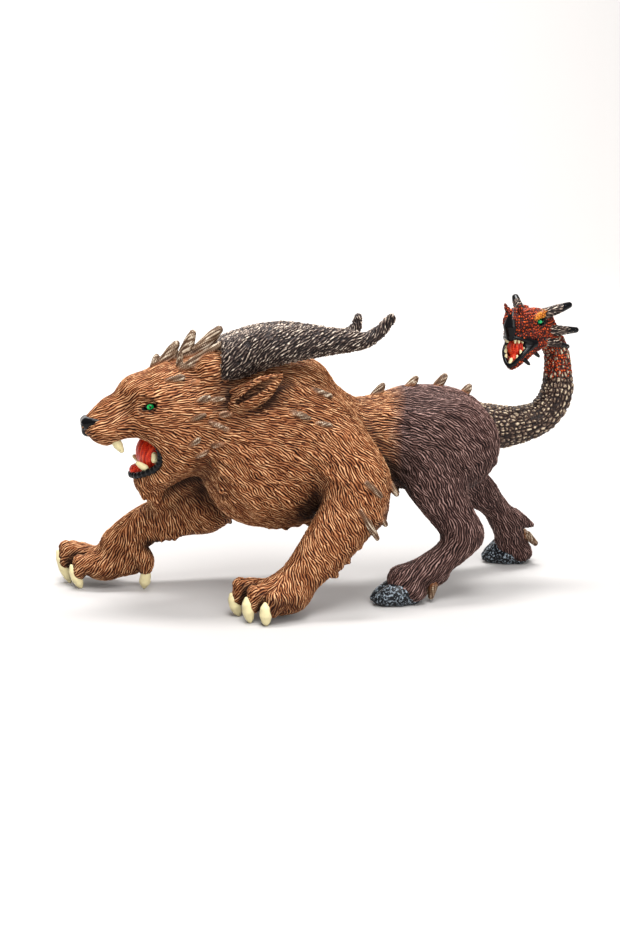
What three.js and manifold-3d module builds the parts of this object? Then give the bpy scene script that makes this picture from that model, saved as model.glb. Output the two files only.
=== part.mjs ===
// A painted plastic figurine of a chimera: a lion's head, mane and forelegs, a goat's horns and
// hindquarters, and a tail that ends in a horned snake's head. It is cast as one solid piece.
//
// Millimetres, +Z up. The head looks along -X, the creature's left side faces -Y, and the soles
// and claw tips stand on Z = 0. The origin is under the middle of the figure's bounding box.
//
// The form is worked up like clay. Each muscle, bone and tuft is a rounded mass, the masses are
// blended into one signed distance field, the field's surface is traced with tetrahedra, the
// trace is thinned out where it is nearly flat, and the soles are cut off level.

import * as THREE from "three";
import Module from "manifold-3d";
import { mergeVertices } from "three/addons/utils/BufferGeometryUtils.js";

const TRACE_STEP = 1.1; // spacing of the traced grid
const TRIANGLES = 9700; // what the surface is thinned out to
const REACH = [96, 44, 110]; // half length, half width and height of the space that is traced

const CREST = 3.4; // breadth of the spikes on the forehead
const STUD = 2.6; // breadth of the flat spikes in the fur
const CLAW = 2; // half a claw's breadth
const TOE = 3.3; // radius of a lion's toe
const TUFT = 1.5; // radius of a tuft of fur at its root
const LOCK = 2.4; // radius of a lock of the mane
const LOCK_LENGTH = 11; // and its length

const LEFT = -1;
const RIGHT = 1;
const SIDES = [LEFT, RIGHT];

// Masses. Each has a distance function, negative inside, and the box that holds it.

// An ellipsoid. Axes are the directions that its three radii run along.
function ball(centre, radii, axes = [[1, 0, 0], [0, 1, 0], [0, 0, 1]]) {
  const [cx, cy, cz] = centre;
  const [rx, ry, rz] = radii;
  const [a, b, c] = axes;
  const reach = Math.max(rx, ry, rz);
  return {
    low: [cx - reach, cy - reach, cz - reach],
    high: [cx + reach, cy + reach, cz + reach],
    distance(x, y, z) {
      const dx = x - cx;
      const dy = y - cy;
      const dz = z - cz;
      const u = (dx * a[0] + dy * a[1] + dz * a[2]) / rx;
      const v = (dx * b[0] + dy * b[1] + dz * b[2]) / ry;
      const w = (dx * c[0] + dy * c[1] + dz * c[2]) / rz;
      const inside = Math.hypot(u, v, w);
      return (inside * (inside - 1)) / Math.max(Math.hypot(u / rx, v / ry, w / rz), 1e-6);
    },
  };
}

// A round cone from one ball to the next, as [x, y, z, radius] each.
function coneDistance(from, to) {
  const [ax, ay, az, ra] = from;
  const [bx, by, bz, rb] = to;
  const [lx, ly, lz] = [bx - ax, by - ay, bz - az];
  const l2 = lx * lx + ly * ly + lz * lz;
  const taper = ra - rb;
  const a2 = l2 - taper * taper;
  if (a2 <= 1e-9) {
    const [x0, y0, z0, r0] = ra > rb ? from : to;
    return (x, y, z) => Math.hypot(x - x0, y - y0, z - z0) - r0;
  }
  return (x, y, z) => {
    const [px, py, pz] = [x - ax, y - ay, z - az];
    const along = px * lx + py * ly + pz * lz;
    const rest = along - l2;
    const [qx, qy, qz] = [px * l2 - lx * along, py * l2 - ly * along, pz * l2 - lz * along];
    const side = qx * qx + qy * qy + qz * qz;
    const [y2, z2] = [along * along * l2, rest * rest * l2];
    const k = Math.sign(taper) * taper * taper * side;
    if (Math.sign(rest) * a2 * z2 > k) return Math.sqrt(side + z2) / l2 - rb;
    if (Math.sign(along) * a2 * y2 < k) return Math.sqrt(side + y2) / l2 - ra;
    return (Math.sqrt(side * a2 * (1 / l2)) + along * taper) / l2 - ra;
  };
}

// A limb is a smooth run of round cones through knots of [x, y, z, radius]. Flat, as
// [[x, y, z], share], thins it along that direction, or widens it with a share over 1.
function limb(knots, flat) {
  const places = new THREE.CatmullRomCurve3(knots.map(([x, y, z]) => new THREE.Vector3(x, y, z)));
  const pieces = knots.length > 2 ? (knots.length - 1) * 3 : 1;
  const run = [];
  for (let i = 0; i <= pieces; i++) {
    const t = (i / pieces) * (knots.length - 1);
    const k = Math.min(Math.floor(t), knots.length - 2);
    const p = places.getPoint(i / pieces);
    run.push([p.x, p.y, p.z, knots[k][3] + (knots[k + 1][3] - knots[k][3]) * (t - k)]);
  }
  const wide = flat ? Math.max(1, flat[1]) : 1;
  const cones = run.slice(1).map((to, i) => coneDistance(run[i], to));
  const low = [0, 1, 2].map((i) => Math.min(...run.map((k) => k[i] - k[3] * wide)));
  const high = [0, 1, 2].map((i) => Math.max(...run.map((k) => k[i] + k[3] * wide)));
  const nearest = (x, y, z) => {
    let d = Infinity;
    for (const cone of cones) d = Math.min(d, cone(x, y, z));
    return d;
  };
  if (!flat) return { low, high, distance: nearest };
  const n = unit(flat[0]);
  const m = run[Math.floor(run.length / 2)];
  const stretch = 1 / flat[1] - 1;
  return {
    low,
    high,
    distance(x, y, z) {
      const off = ((x - m[0]) * n[0] + (y - m[1]) * n[1] + (z - m[2]) * n[2]) * stretch;
      return nearest(x + off * n[0], y + off * n[1], z + off * n[2]) * Math.min(1, flat[1]);
    },
  };
}

function unit([x, y, z]) {
  const length = Math.hypot(x, y, z);
  return [x / length, y / length, z / length];
}

// The point a given way from a place along a direction.
const moved = (place, direction, way) => [0, 1, 2].map((i) => place[i] + direction[i] * way);

// The same point on the left or the right side.
const mirror = (side, [x, y, z, ...rest]) => [x, side * y, z, ...rest];

// The field that the masses are blended into.
class Clay {
  constructor(low, high, step) {
    this.low = low;
    this.step = step;
    this.size = high.map((h, i) => Math.ceil((h - low[i]) / step) + 1);
    this.field = new Float32Array(this.size[0] * this.size[1] * this.size[2]).fill(1e3);
  }

  each(mass, soft, blend) {
    const margin = soft + 3 * this.step;
    const range = [0, 1, 2].map((i) => [
      Math.max(0, Math.floor((mass.low[i] - margin - this.low[i]) / this.step)),
      Math.min(this.size[i] - 1, Math.ceil((mass.high[i] + margin - this.low[i]) / this.step)),
    ]);
    const [nx, ny] = this.size;
    for (let k = range[2][0]; k <= range[2][1]; k++) {
      for (let j = range[1][0]; j <= range[1][1]; j++) {
        for (let i = range[0][0]; i <= range[0][1]; i++) {
          const at = (k * ny + j) * nx + i;
          const d = mass.distance(
            this.low[0] + i * this.step,
            this.low[1] + j * this.step,
            this.low[2] + k * this.step,
          );
          this.field[at] = blend(this.field[at], d, soft);
        }
      }
    }
  }

  at(...place) {
    const [i, j, k] = place.map((p, axis) => Math.round((p - this.low[axis]) / this.step));
    return this.field[(k * this.size[1] + j) * this.size[0] + i];
  }

  add(mass, soft) {
    this.each(mass, soft, (a, b, k) => {
      const h = Math.max(k - Math.abs(a - b), 0) / k;
      return Math.min(a, b) - h * h * k * 0.25;
    });
  }

  carve(mass, soft) {
    this.each(mass, soft, (a, b, k) => {
      const h = Math.max(k - Math.abs(a + b), 0) / k;
      return Math.max(a, -b) + h * h * k * 0.25;
    });
  }
}

// The lion's trunk from chest to loin, the goat's rump, and the hump of the mane over the back.
function trunk(clay) {
  clay.add(ball([-15, 0, 54.5], [27.5, 21.5, 29]), 7);
  clay.add(ball([-27, 0, 48], [15, 18.5, 20.5]), 8);
  clay.add(limb([[-5, 0, 54, 18], [12, 0, 54, 16.2], [28, 0, 56.2, 16.4]], [[0, 1, 0], 0.88]), 5);
  clay.add(ball([39, 0, 55], [23, 15.5, 18.8]), 6);
  clay.add(ball([-13, 0, 66], [18.4, 17, 19.4]), 2);
}

function neck(clay) {
  clay.add(limb([[-48, 0, 65, 17], [-38, 0, 66, 18], [-24, 0, 62, 21]], [[0, 1, 0], 0.92]), 7);
  clay.add(limb([[-49, 0, 73.5, 13], [-40, 0, 76, 13.4]], [[0, 1, 0], 0.85]), 5);
}

function head(clay) {
  clay.add(ball([-53, 0, 71.5], [15, 13, 13.2]), 5);
  clay.add(ball([-63.4, 0, 74.8], [8, 7.5, 6.5]), 2.5);
  clay.add(limb([[-64, 0, 71.6, 6.5], [-73, 0, 68, 5.8], [-79.6, 0, 64, 4.1]]), 2.5);
  for (const side of SIDES) {
    clay.add(ball(mirror(side, [-74.3, 4.4, 62.4]), [7.2, 4.4, 4.8]), 2.5);
    clay.add(ball(mirror(side, [-67.5, 6, 64]), [7.5, 4, 4.6]), 2.5);
    clay.add(ball(mirror(side, [-58, 8.3, 66.5]), [9, 5.5, 8]), 3.5);
    clay.add(ball(mirror(side, [-52, 9, 59]), [9, 6, 10]), 4);
    eye(clay, side);
  }
  clay.add(ball([-81.8, 0, 64.2], [2.3, 3.6, 2.7]), 1);
  clay.add(ball([-80.6, 0, 61.6], [1.8, 1.5, 2]), 1);
  for (const side of SIDES) clay.carve(ball(mirror(side, [-83.2, 2.3, 63.9]), [1.3, 1, 0.9]), 0.8);
}

// The eyeball sits in a socket between a heavy brow and a lower lid.
function eye(clay, side) {
  const brow = [[-66.5, 4.2, 75.8, 2.2], [-61.5, 8.2, 75.2, 2.4], [-55, 10.8, 75.3, 2]];
  clay.add(limb(brow.map((k) => mirror(side, k))), 2.5);
  clay.carve(ball(mirror(side, [-61.8, 10.4, 71.2]), [3.6, 2.6, 2.4]), 2);
  clay.add(ball(mirror(side, [-61.3, 7.3, 71.2]), [2.6, 2.6, 2.4]), 0.5);
  const lid = [[-64.4, 7.6, 69.9, 0.8], [-61.4, 9.7, 69.2, 0.9], [-58.2, 10, 70.6, 0.8]];
  clay.add(limb(lid.map((k) => mirror(side, k))), 0.8);
}

function jaw(clay) {
  for (const side of SIDES) {
    const bone = [[-52, 7.5, 53, 5.2], [-58.5, 5.5, 47.5, 4.2], [-62.8, 2.2, 44.4, 3.5]];
    clay.add(limb(bone.map((k) => mirror(side, k))), 3);
  }
  clay.add(limb([[-59, 0, 45, 5], [-50, 0, 52, 7]]), 4);
  clay.add(limb([[-61.3, 0, 42.8, 4], [-60.2, 0, 39.6, 2.8], [-61.2, 0, 37.4, 1.2]]), 2);
  clay.carve(ball([-66.8, 0, 53.2], [8.8, 16, 6.1]), 1.2);
  clay.add(ball([-59, 0, 54], [6.4, 7, 6.6]), 1);
  clay.add(limb([[-58, 0, 50, 3.4], [-63, 0, 48.6, 2.8], [-66, 0, 48, 2]], [[0, 1, 0], 1.4]), 1);
  for (const side of SIDES) {
    const lip = [[-57.4, 8.6, 55.6, 0.9], [-58.6, 8.2, 50.9, 1], [-62, 6, 47.7, 1.1],
      [-66.6, 1.8, 46.2, 1.1]];
    clay.add(limb(lip.map((k) => mirror(side, k))), 0.8);
  }
  teeth(clay);
}

function teeth(clay) {
  for (const side of SIDES) {
    const upper = [[-72.6, 5.2, 60, 1.5], [-71.6, 5.5, 57.4, 1.3], [-70, 5.5, 54.8, 0.5]];
    const lower = [[-62.2, 4.6, 48.4, 1.4], [-64.4, 4.8, 50.2, 1.2], [-66.2, 4.8, 51.2, 0.7]];
    const back = [[-59.4, 7, 51.6, 1.1], [-60, 6.8, 53.6, 0.9]];
    for (const tooth of [upper, lower, back]) clay.add(limb(tooth.map((k) => mirror(side, k))), 0.5);
  }
}

// A leaf-shaped ear laid back along the mane, with a slit down it.
function ears(clay) {
  for (const side of SIDES) {
    const leaf = [[-38, 13.5, 74.5, 4.2], [-32.5, 17, 76, 4.6], [-26, 19.6, 78.6, 3.6],
      [-19.4, 21.2, 82.2, 1]];
    const slit = [[-33.5, 20.4, 74.6, 1.4], [-29, 21.4, 77, 1.5], [-23.6, 22.2, 79.9, 0.8]];
    clay.add(limb(leaf.map((k) => mirror(side, k)), [[0.25, side, -0.1], 0.62]), 1.2);
    clay.carve(limb(slit.map((k) => mirror(side, k))), 0.8);
  }
}

// The near foreleg stands back under the shoulder, the far one strides out ahead.
function forelegs(clay) {
  clay.add(ball([-4, -12.5, 58], [15, 9.5, 18]), 5);
  clay.add(limb([[1, -15, 56, 11.5], [7, -18.5, 44.5, 12], [7, -20, 37.4, 11]], [[0, 1, 0], 0.85]), 5);
  clay.add(limb([[5.8, -20.5, 36, 10.2], [0.6, -21.8, 29.4, 9.6], [-5, -22.8, 22.5, 8.5],
    [-11, -23.8, 16, 7.2], [-15, -24, 12, 6.6]], [[0, 1, 0], 0.85]), 3);
  clay.add(ball([-13, 12.5, 58], [16, 9.5, 18]), 5);
  clay.add(limb([[-14, 14, 54, 12], [-26, 17, 42, 11.8], [-40, 19, 29.8, 9.9]]), 5);
  clay.add(limb([[-40, 19, 29.7, 9.7], [-52, 20.8, 25.7, 8.4], [-63, 23, 22, 7.1],
    [-71, 24.5, 15.6, 6.2]]), 3);
}

// A toe arches from the palm over its knuckle to a claw whose tip is on the ground.
function toe(clay, root, tip, knuckle, claw) {
  const ahead = unit([tip[0] - root[0], tip[1] - root[1], 0]);
  const at = (way, z, r) => [tip[0] + ahead[0] * way, tip[1] + ahead[1] * way, z, r];
  clay.add(limb([root, at(-1.2, knuckle, TOE), at(2, knuckle * 0.66, TOE * 0.82)]), 1);
  clay.add(limb([at(2.6, claw, CLAW * 0.8), at(3, claw * 0.55, CLAW), at(1.6, claw * 0.2, CLAW * 0.8),
    at(0.3, 0.3, 1)]), 0.5);
}

function paws(clay) {
  clay.add(ball([-19.5, -24.8, 8.2], [9.5, 7.6, 7]), 3);
  toe(clay, [-24, -20.5, 8.5, 4], [-33.6, -20, 0], 9.6, 7.4);
  toe(clay, [-22, -25, 8, 4.4], [-31.3, -27.1, 0], 8.3, 7.6);
  toe(clay, [-18, -28, 7.5, 4.2], [-26.3, -30.6, 0], 7.4, 6.9);
  thumb(clay, [-16, -20, 9, 3.6], [-20, -17, 6, 2.6], [-21.5, -16.4, 0]);
  clay.add(ball([-75.5, 26, 8.6], [8.5, 8.4, 6.4]), 3);
  toe(clay, [-77, 23, 8, 4], [-84.6, 23.9, 0], 8.6, 7.8);
  toe(clay, [-79, 29, 9.5, 4.2], [-89, 31.5, 0], 12.1, 11.4);
  toe(clay, [-78, 33, 8.5, 4], [-86.2, 37.8, 0], 10.4, 9);
  thumb(clay, [-66, 21, 15.5, 4.4], [-60.4, 18.2, 10.6, 3.5], [-62.3, 18.6, 0]);
}

function thumb(clay, root, knuckle, tip) {
  const [x, y, z, r] = knuckle;
  clay.add(limb([root, knuckle, [x, y, z * 0.7, r * 0.75]]), 1.6);
  clay.add(limb([[x, y, z * 0.55, CLAW], [(x + tip[0]) / 2, (y + tip[1]) / 2, z * 0.3, CLAW * 0.8],
    [tip[0], tip[1], 0.3, 1]]), 0.5);
}

function hindlegs(clay) {
  clay.add(ball([43, -9.5, 52], [18, 9, 17]), 5);
  clay.add(limb([[42, -12, 44, 11.5], [42.5, -14, 36, 9.6], [44.5, -15.5, 28, 7.2],
    [47.5, -16, 24.5, 6.4]], [[0, 1, 0], 0.85]), 4);
  clay.add(limb([[48.8, -16, 24.4, 5.7], [38.7, -16.5, 16.7, 5.5], [29.8, -16.5, 10.8, 5.6],
    [23, -16.5, 8, 5.5]]), 2.5);
  hoof(clay, [24.5, -16.4, 6], [13.5, -17.2]);
  dewclaws(clay, [35.6, -16.2, 6.4], [34.4, -16, 2]);
  clay.add(ball([43, 9.5, 52], [18, 9, 17]), 5);
  clay.add(limb([[44, 12, 46, 11.5], [51, 13.5, 39, 9.5], [57, 15, 34.3, 7.5], [61.3, 16.5, 30.3, 6]]), 4);
  clay.add(limb([[61.3, 16.5, 30.3, 5.8], [69, 19, 22, 4.9], [76.6, 22, 12.6, 5.8], [78, 24, 8.6, 6]]), 2.5);
  hoof(clay, [79, 25.4, 6.2], [69.8, 28]);
  dewclaws(clay, [83.6, 23, 11.4], [87, 23, 8.2]);
}

// A cloven hoof: two toes side by side from the fetlock to points just off the ground.
function hoof(clay, heel, point) {
  const ahead = unit([point[0] - heel[0], point[1] - heel[1], 0]);
  const aside = [-ahead[1], ahead[0], 0];
  const at = (way, off, z, r) => {
    const [x, y] = moved(moved(heel, ahead, way), aside, off);
    return [x, y, z, r];
  };
  for (const s of SIDES) {
    const knots = [at(-3, s * 2.2, 3.4, 4), at(2, s * 2.4, 3.6, 4.3), at(7.5, s * 1.9, 2.6, 2.9),
      at(10.4, s * 1.6, 2.4, 1.3)];
    clay.add(limb(knots), 1);
  }
  clay.add(limb([[...heel, 5.4], at(4, 0, heel[2] * 1.15, 4.2)]), 2.5);
  clay.carve(limb([at(5, 0, 3.6, 0.5), at(11, 0, 2.6, 0.8)]), 0.8);
}

function dewclaws(clay, root, tip) {
  for (const side of SIDES) {
    const from = [root[0], root[1] + side * 2.2, root[2], 1.7];
    const to = [tip[0], tip[1] + side * 2.8, tip[2], 1.1];
    clay.add(limb([from, to]), 0.8);
  }
}

function horns(clay) {
  for (const side of SIDES) clay.add(ball(mirror(side, [-36, 8.4, 84]), [8.4, 7.4, 8.6]), 3);
  clay.add(limb([[-29.4, -10.2, 89, 7.5], [-22, -12, 91, 7], [-12, -13, 91.8, 5.9], [4, -13, 92, 4],
    [11.5, -13, 92, 2.6], [17, -13, 95.5, 2.1], [20.4, -13, 99.8, 1.2]]), 1);
  clay.add(limb([[-29.4, 10.2, 87.8, 7.5], [-22, 11.4, 89.3, 7], [-12, 12, 90.6, 5.9], [4, 13, 89.8, 4],
    [10.5, 13, 90.3, 2.8], [14.3, 13, 93.5, 2.2], [15, 13, 96.8, 1.2]]), 1);
}

// A blunt spike from a root to a tip, thick in the middle, sunk a little at its root.
function spike(clay, root, tip, breadth) {
  const way = root.map((r, i) => tip[i] - r);
  const knot = (t, r) => [...moved(root, way, t), r];
  const half = breadth / 2;
  clay.add(limb([knot(-0.3, half), knot(0.3, half), knot(0.7, half * 0.82), knot(0.95, half * 0.5)]), 0.8);
}

// The spikes over the forehead, largest at the back, and the smaller ones down both sides of it.
function crest(clay) {
  spike(clay, [-59.5, 0, 81.6], [-57.4, 0, 86.9], CREST * 0.75);
  spike(clay, [-56, 0, 83.5], [-50.9, 0, 91.2], CREST * 1.1);
  spike(clay, [-49.6, 0, 85.5], [-45.4, 0, 94.8], CREST);
  spike(clay, [-46, 0, 86.8], [-36, 0, 96], CREST * 1.2);
  for (const side of SIDES) {
    spike(clay, mirror(side, [-52.2, 4, 84.6]), mirror(side, [-51, 4.2, 88.8]), CREST * 0.6);
    spike(clay, mirror(side, [-47.6, 5.6, 84]), mirror(side, [-36.2, 7.2, 92.2]), CREST * 0.85);
  }
}

// Flat spikes in the fur, as [x, z, length, rise]: side places on the head, mane and shoulder.
const STUDS = [
  [-52.5, 81.8, 6, 0.7], [-44.5, 83.4, 4.5, -0.5], [-43, 79, 9.5, 0.25], [-38.8, 73.3, 5.5, 0.1],
  [-45, 73, 4.5, -0.2], [-46.6, 69.2, 5.5, -0.1], [-36.4, 68.8, 4, 0.3], [-38, 65.8, 6, -0.6],
  [-48, 60.8, 4, 0.3], [-38.6, 60, 5, -0.2], [-44.4, 56.8, 4.5, -0.3], [-4.6, 74, 6, -0.05],
  [-13, 67.8, 5, -0.15], [-5, 65, 6, 0],
];

function studs(clay) {
  for (const side of SIDES) {
    for (const [x, z, length, rise] of STUDS) {
      const y = side * (sideOf(clay, x, z, side) - 0.3);
      const back = unit([1, side * 0.22, rise]);
      spike(clay, [x, y, z], moved([x, y, z], back, length), STUD);
    }
  }
}

// How far out the surface lies at a place seen from one side.
function sideOf(clay, x, z, side) {
  for (let out = REACH[1] - 2; out > 0; out -= 0.25) {
    if (clay.at(x, side * out, z) < 0) return out;
  }
  return 0;
}

// The row of spikes down the goat's back, and those behind the elbows.
function spines(clay) {
  for (const [x, z, length] of [[17.5, 70.6, 5], [29.5, 72.6, 5.4], [41, 73, 5.6], [50, 69.6, 4.6]]) {
    spike(clay, [x, 0, z], [x + length * 0.68, 0, z + length * 0.72], STUD);
  }
  for (const side of SIDES) {
    const elbow = side === LEFT ? [11, -25, 40.5] : [-31, 24, 34];
    for (const [out, down, length] of [[0, 0, 5], [1, 5, 6], [-3, 8, 5]]) {
      const root = moved(elbow, [0, side * out - 0.2 * down, -down], 1);
      spike(clay, root, moved(root, unit([0.8, side * 0.3, -0.55]), length), STUD);
    }
  }
}

function tail(clay) {
  clay.add(limb([[56, 0, 58, 9], [70, 0, 58.2, 6.8], [78.7, 0, 60.5, 6.1], [83.6, 0, 65.2, 5.9],
    [85.8, 0, 70.9, 5.7], [85.8, 0, 77, 5], [84.8, 0, 84.8, 4.3], [81, -0.4, 91, 4.5]]), 3);
}

// The snake's head is turned towards the creature's left. Its masses are placed by how far they
// lie ahead of the middle of the skull, out to one side of it, and above it.
const SNAKE = [75.4, -1.5, 94.8];
const SNAKE_AHEAD = unit([-0.79, -0.62, 0]);
const SNAKE_ASIDE = [SNAKE_AHEAD[1], -SNAKE_AHEAD[0], 0];
const SNAKE_AXES = [SNAKE_AHEAD, SNAKE_ASIDE, [0, 0, 1]];

function onSnake([ahead, aside, above, ...rest]) {
  const level = moved(moved(SNAKE, SNAKE_AHEAD, ahead), SNAKE_ASIDE, aside);
  return [...moved(level, [0, 0, 1], above), ...rest];
}

function snakeHead(clay) {
  clay.add(ball(onSnake([-1, 0, 0.6]), [8, 6.6, 5.6], SNAKE_AXES), 2);
  const snout = [[0, 0, 1.4, 5.4], [6, 0, 2.6, 5], [11.6, 0, 3.4, 4.4]];
  clay.add(limb(snout.map(onSnake), [SNAKE_ASIDE, 1.2]), 1.5);
  clay.add(ball(onSnake([14.4, 0, 2.4]), [2.6, 3.2, 5.4], SNAKE_AXES), 1);
  clay.add(ball(onSnake([15.4, 0, -2]), [1.6, 1.7, 2.4], SNAKE_AXES), 0.8);
  for (const side of SIDES) {
    const at = (knots) => knots.map(([f, s, u, r]) => onSnake([f, side * s, u, r]));
    clay.add(ball(onSnake([0.5, side * 4.2, -2.6]), [6, 3, 3.8], SNAKE_AXES), 1.5);
    clay.add(limb(at([[-3, 5.2, 3.8, 1.3], [3, 4.8, 4.6, 1.5], [8, 3.6, 6, 1.1]])), 1);
    clay.add(limb(at([[-1, 5.2, -4.6, 2.6], [6, 5.8, -6.6, 1.9], [11, 4, -10.4, 1.7],
      [14.4, 0.8, -13.6, 1.6]])), 1);
    clay.add(ball(onSnake([14.4, side * 1.5, 4.2]), [0.9, 0.8, 1]), 0.6);
    clay.add(limb(at([[-1, 5.4, 4.4, 1.7], [-3.4, 8, 6, 1.6], [-5.8, 10.6, 7.6, 1]])), 0.8);
    clay.add(limb(at([[-3, 5.8, -2.2, 1.7], [-7, 8.4, -2.6, 1.5], [-10.6, 10.8, -2.7, 0.9]])), 0.8);
    clay.add(limb(at([[-2, 5.4, -5.8, 1.6], [-5, 7.4, -7.4, 1.4], [-8.5, 8.9, -8.6, 0.7]])), 0.8);
    spike(clay, onSnake([4, side * 4.4, -8.6]), onSnake([2.4, side * 5.2, -10.8]), 1.4);
    spike(clay, onSnake([8.4, side * 3.2, -11.4]), onSnake([7, side * 3.8, -13.6]), 1.4);
  }
  const chin = [[0, 0, -5, 4], [7, 0, -9.4, 3.2], [12.4, 0, -13, 2]];
  clay.add(limb(chin.map(onSnake), [SNAKE_ASIDE, 1.15]), 1);
  const gape = [[3, 0, -3.6, 2.2], [9, 0, -6, 3.2], [14, 0, -7.6, 3.6]];
  clay.carve(limb(gape.map(onSnake), [SNAKE_ASIDE, 1.35]), 0.8);
  snakeTeeth(clay);
}

function snakeTeeth(clay) {
  for (const side of SIDES) {
    const lower = [[7.6, 5.4, -6.2], [9.6, 4.8, -7.6], [11.4, 3.7, -9.2], [13.4, 2, -11.2]];
    for (const [ahead, aside, above] of lower) {
      const root = onSnake([ahead, side * aside, above - 1]);
      clay.add(limb([[...root, 0.8], [...onSnake([ahead, side * aside * 0.94, above + 1]), 0.4]]), 0.4);
    }
    for (const [ahead, aside] of [[8.4, 4.6], [10.6, 4], [12.6, 2.8]]) {
      const root = onSnake([ahead, side * aside, -1.2]);
      clay.add(limb([[...root, 0.8], [...onSnake([ahead, side * aside, -3.4]), 0.4]]), 0.4);
    }
  }
}

// Tufts of fur in a row from one place to another, all hanging the same way, long and short by turns.
function tufts(clay, from, to, count, way, length) {
  for (let i = 0; i < count; i++) {
    const t = count > 1 ? i / (count - 1) : 0;
    const root = from.map((f, axis) => f + (to[axis] - f) * t);
    const size = length * (i % 2 ? 0.7 : 1);
    const lean = [way[0], way[1] + 0.25 * (i % 3 - 1), way[2]];
    const at = (part, r) => [...moved(root, unit(lean), size * part), r];
    clay.add(limb([at(-0.5, TUFT), at(0.25, TUFT * 0.9), at(0.7, TUFT * 0.6), at(1, 0.35)]), 1);
  }
}

function fringes(clay) {
  tufts(clay, [13, -22, 34.4], [-3.6, -25, 15.4], 9, [0.8, -0.1, -0.6], 3.4);
  tufts(clay, [13.4, -18, 35], [-1, -20.5, 18], 6, [0.8, 0.1, -0.6], 3);
  tufts(clay, [-32, 22, 24.5], [-60, 20.5, 18.5], 9, [0.15, -0.1, -1], 3.4);
  tufts(clay, [-34, 15, 27], [-56, 17, 20], 6, [0.15, 0, -1], 3);
  tufts(clay, [-31, -6, 29.4], [-8, -4, 26.8], 7, [0.45, -0.1, -1], 3.6);
  tufts(clay, [-29, 5, 29], [-6, 4, 27], 6, [0.45, 0.1, -1], 3.2);
  tufts(clay, [-39, -12, 44], [-34, -8, 33], 4, [-0.5, -0.3, -1], 3.4);
  tufts(clay, [-39, 12, 44], [-34, 8, 33], 4, [-0.5, 0.3, -1], 3.4);
  tufts(clay, [24, -5, 38.6], [12, -4, 38], 3, [0.5, 0, -1], 2.6);
  tufts(clay, [81, 19, 17], [83.4, 21, 14.4], 2, [0.95, 0.1, 0.1], 4.6);
  tufts(clay, [-63, -2.6, 41], [-59, -2, 38.5], 3, [-0.2, -0.2, -1], 2.6);
  tufts(clay, [-63, 2.6, 41], [-59, 2, 38.5], 3, [-0.2, 0.2, -1], 2.6);
}

// Hair lies back from the face and falls more steeply the lower it grows.
const hairWay = (z) => unit([1, 0, -Math.max(0, (78 - z) / 38)]);

// Locks of the mane and the coat, laid in staggered rows along each side where it faces outwards.
function locks(clay, xs, zs, apart, length) {
  for (const side of SIDES) {
    const places = [];
    for (let z = zs[0], row = 0; z <= zs[1]; z += apart, row++) {
      for (let x = xs[0] + (row % 2) * length * 0.5; x <= xs[1]; x += length) {
        const lie = hairWay(z);
        const run = [0, 0.4, 0.75, 1].map((t) => [x + lie[0] * t * length, z + lie[2] * t * length]);
        const outs = run.map(([px, pz]) => sideOf(clay, px, pz, side));
        const steep = Math.max(...outs.slice(1).map((out, i) => Math.abs(out - outs[i])));
        if (Math.min(...outs) > 6 && steep < length * 0.35) places.push([run, outs]);
      }
    }
    for (const [run, outs] of places) {
      const radii = [LOCK * 0.6, LOCK, LOCK * 0.8, LOCK * 0.3];
      const knots = run.map(([x, z], i) => [x, side * (outs[i] + 0.55 - radii[i]), z, radii[i]]);
      clay.add(limb(knots), 1);
    }
  }
}

function coat(clay) {
  locks(clay, [-46, -4], [34, 80], 6, LOCK_LENGTH);
  locks(clay, [6, 52], [40, 68], 6.6, LOCK_LENGTH);
}

function model() {
  const clay = new Clay([-REACH[0], -REACH[1], -4], REACH, TRACE_STEP);
  trunk(clay);
  neck(clay);
  head(clay);
  jaw(clay);
  forelegs(clay);
  paws(clay);
  hindlegs(clay);
  coat(clay);
  fringes(clay);
  ears(clay);
  horns(clay);
  crest(clay);
  studs(clay);
  spines(clay);
  tail(clay);
  snakeHead(clay);
  return clay;
}

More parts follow.
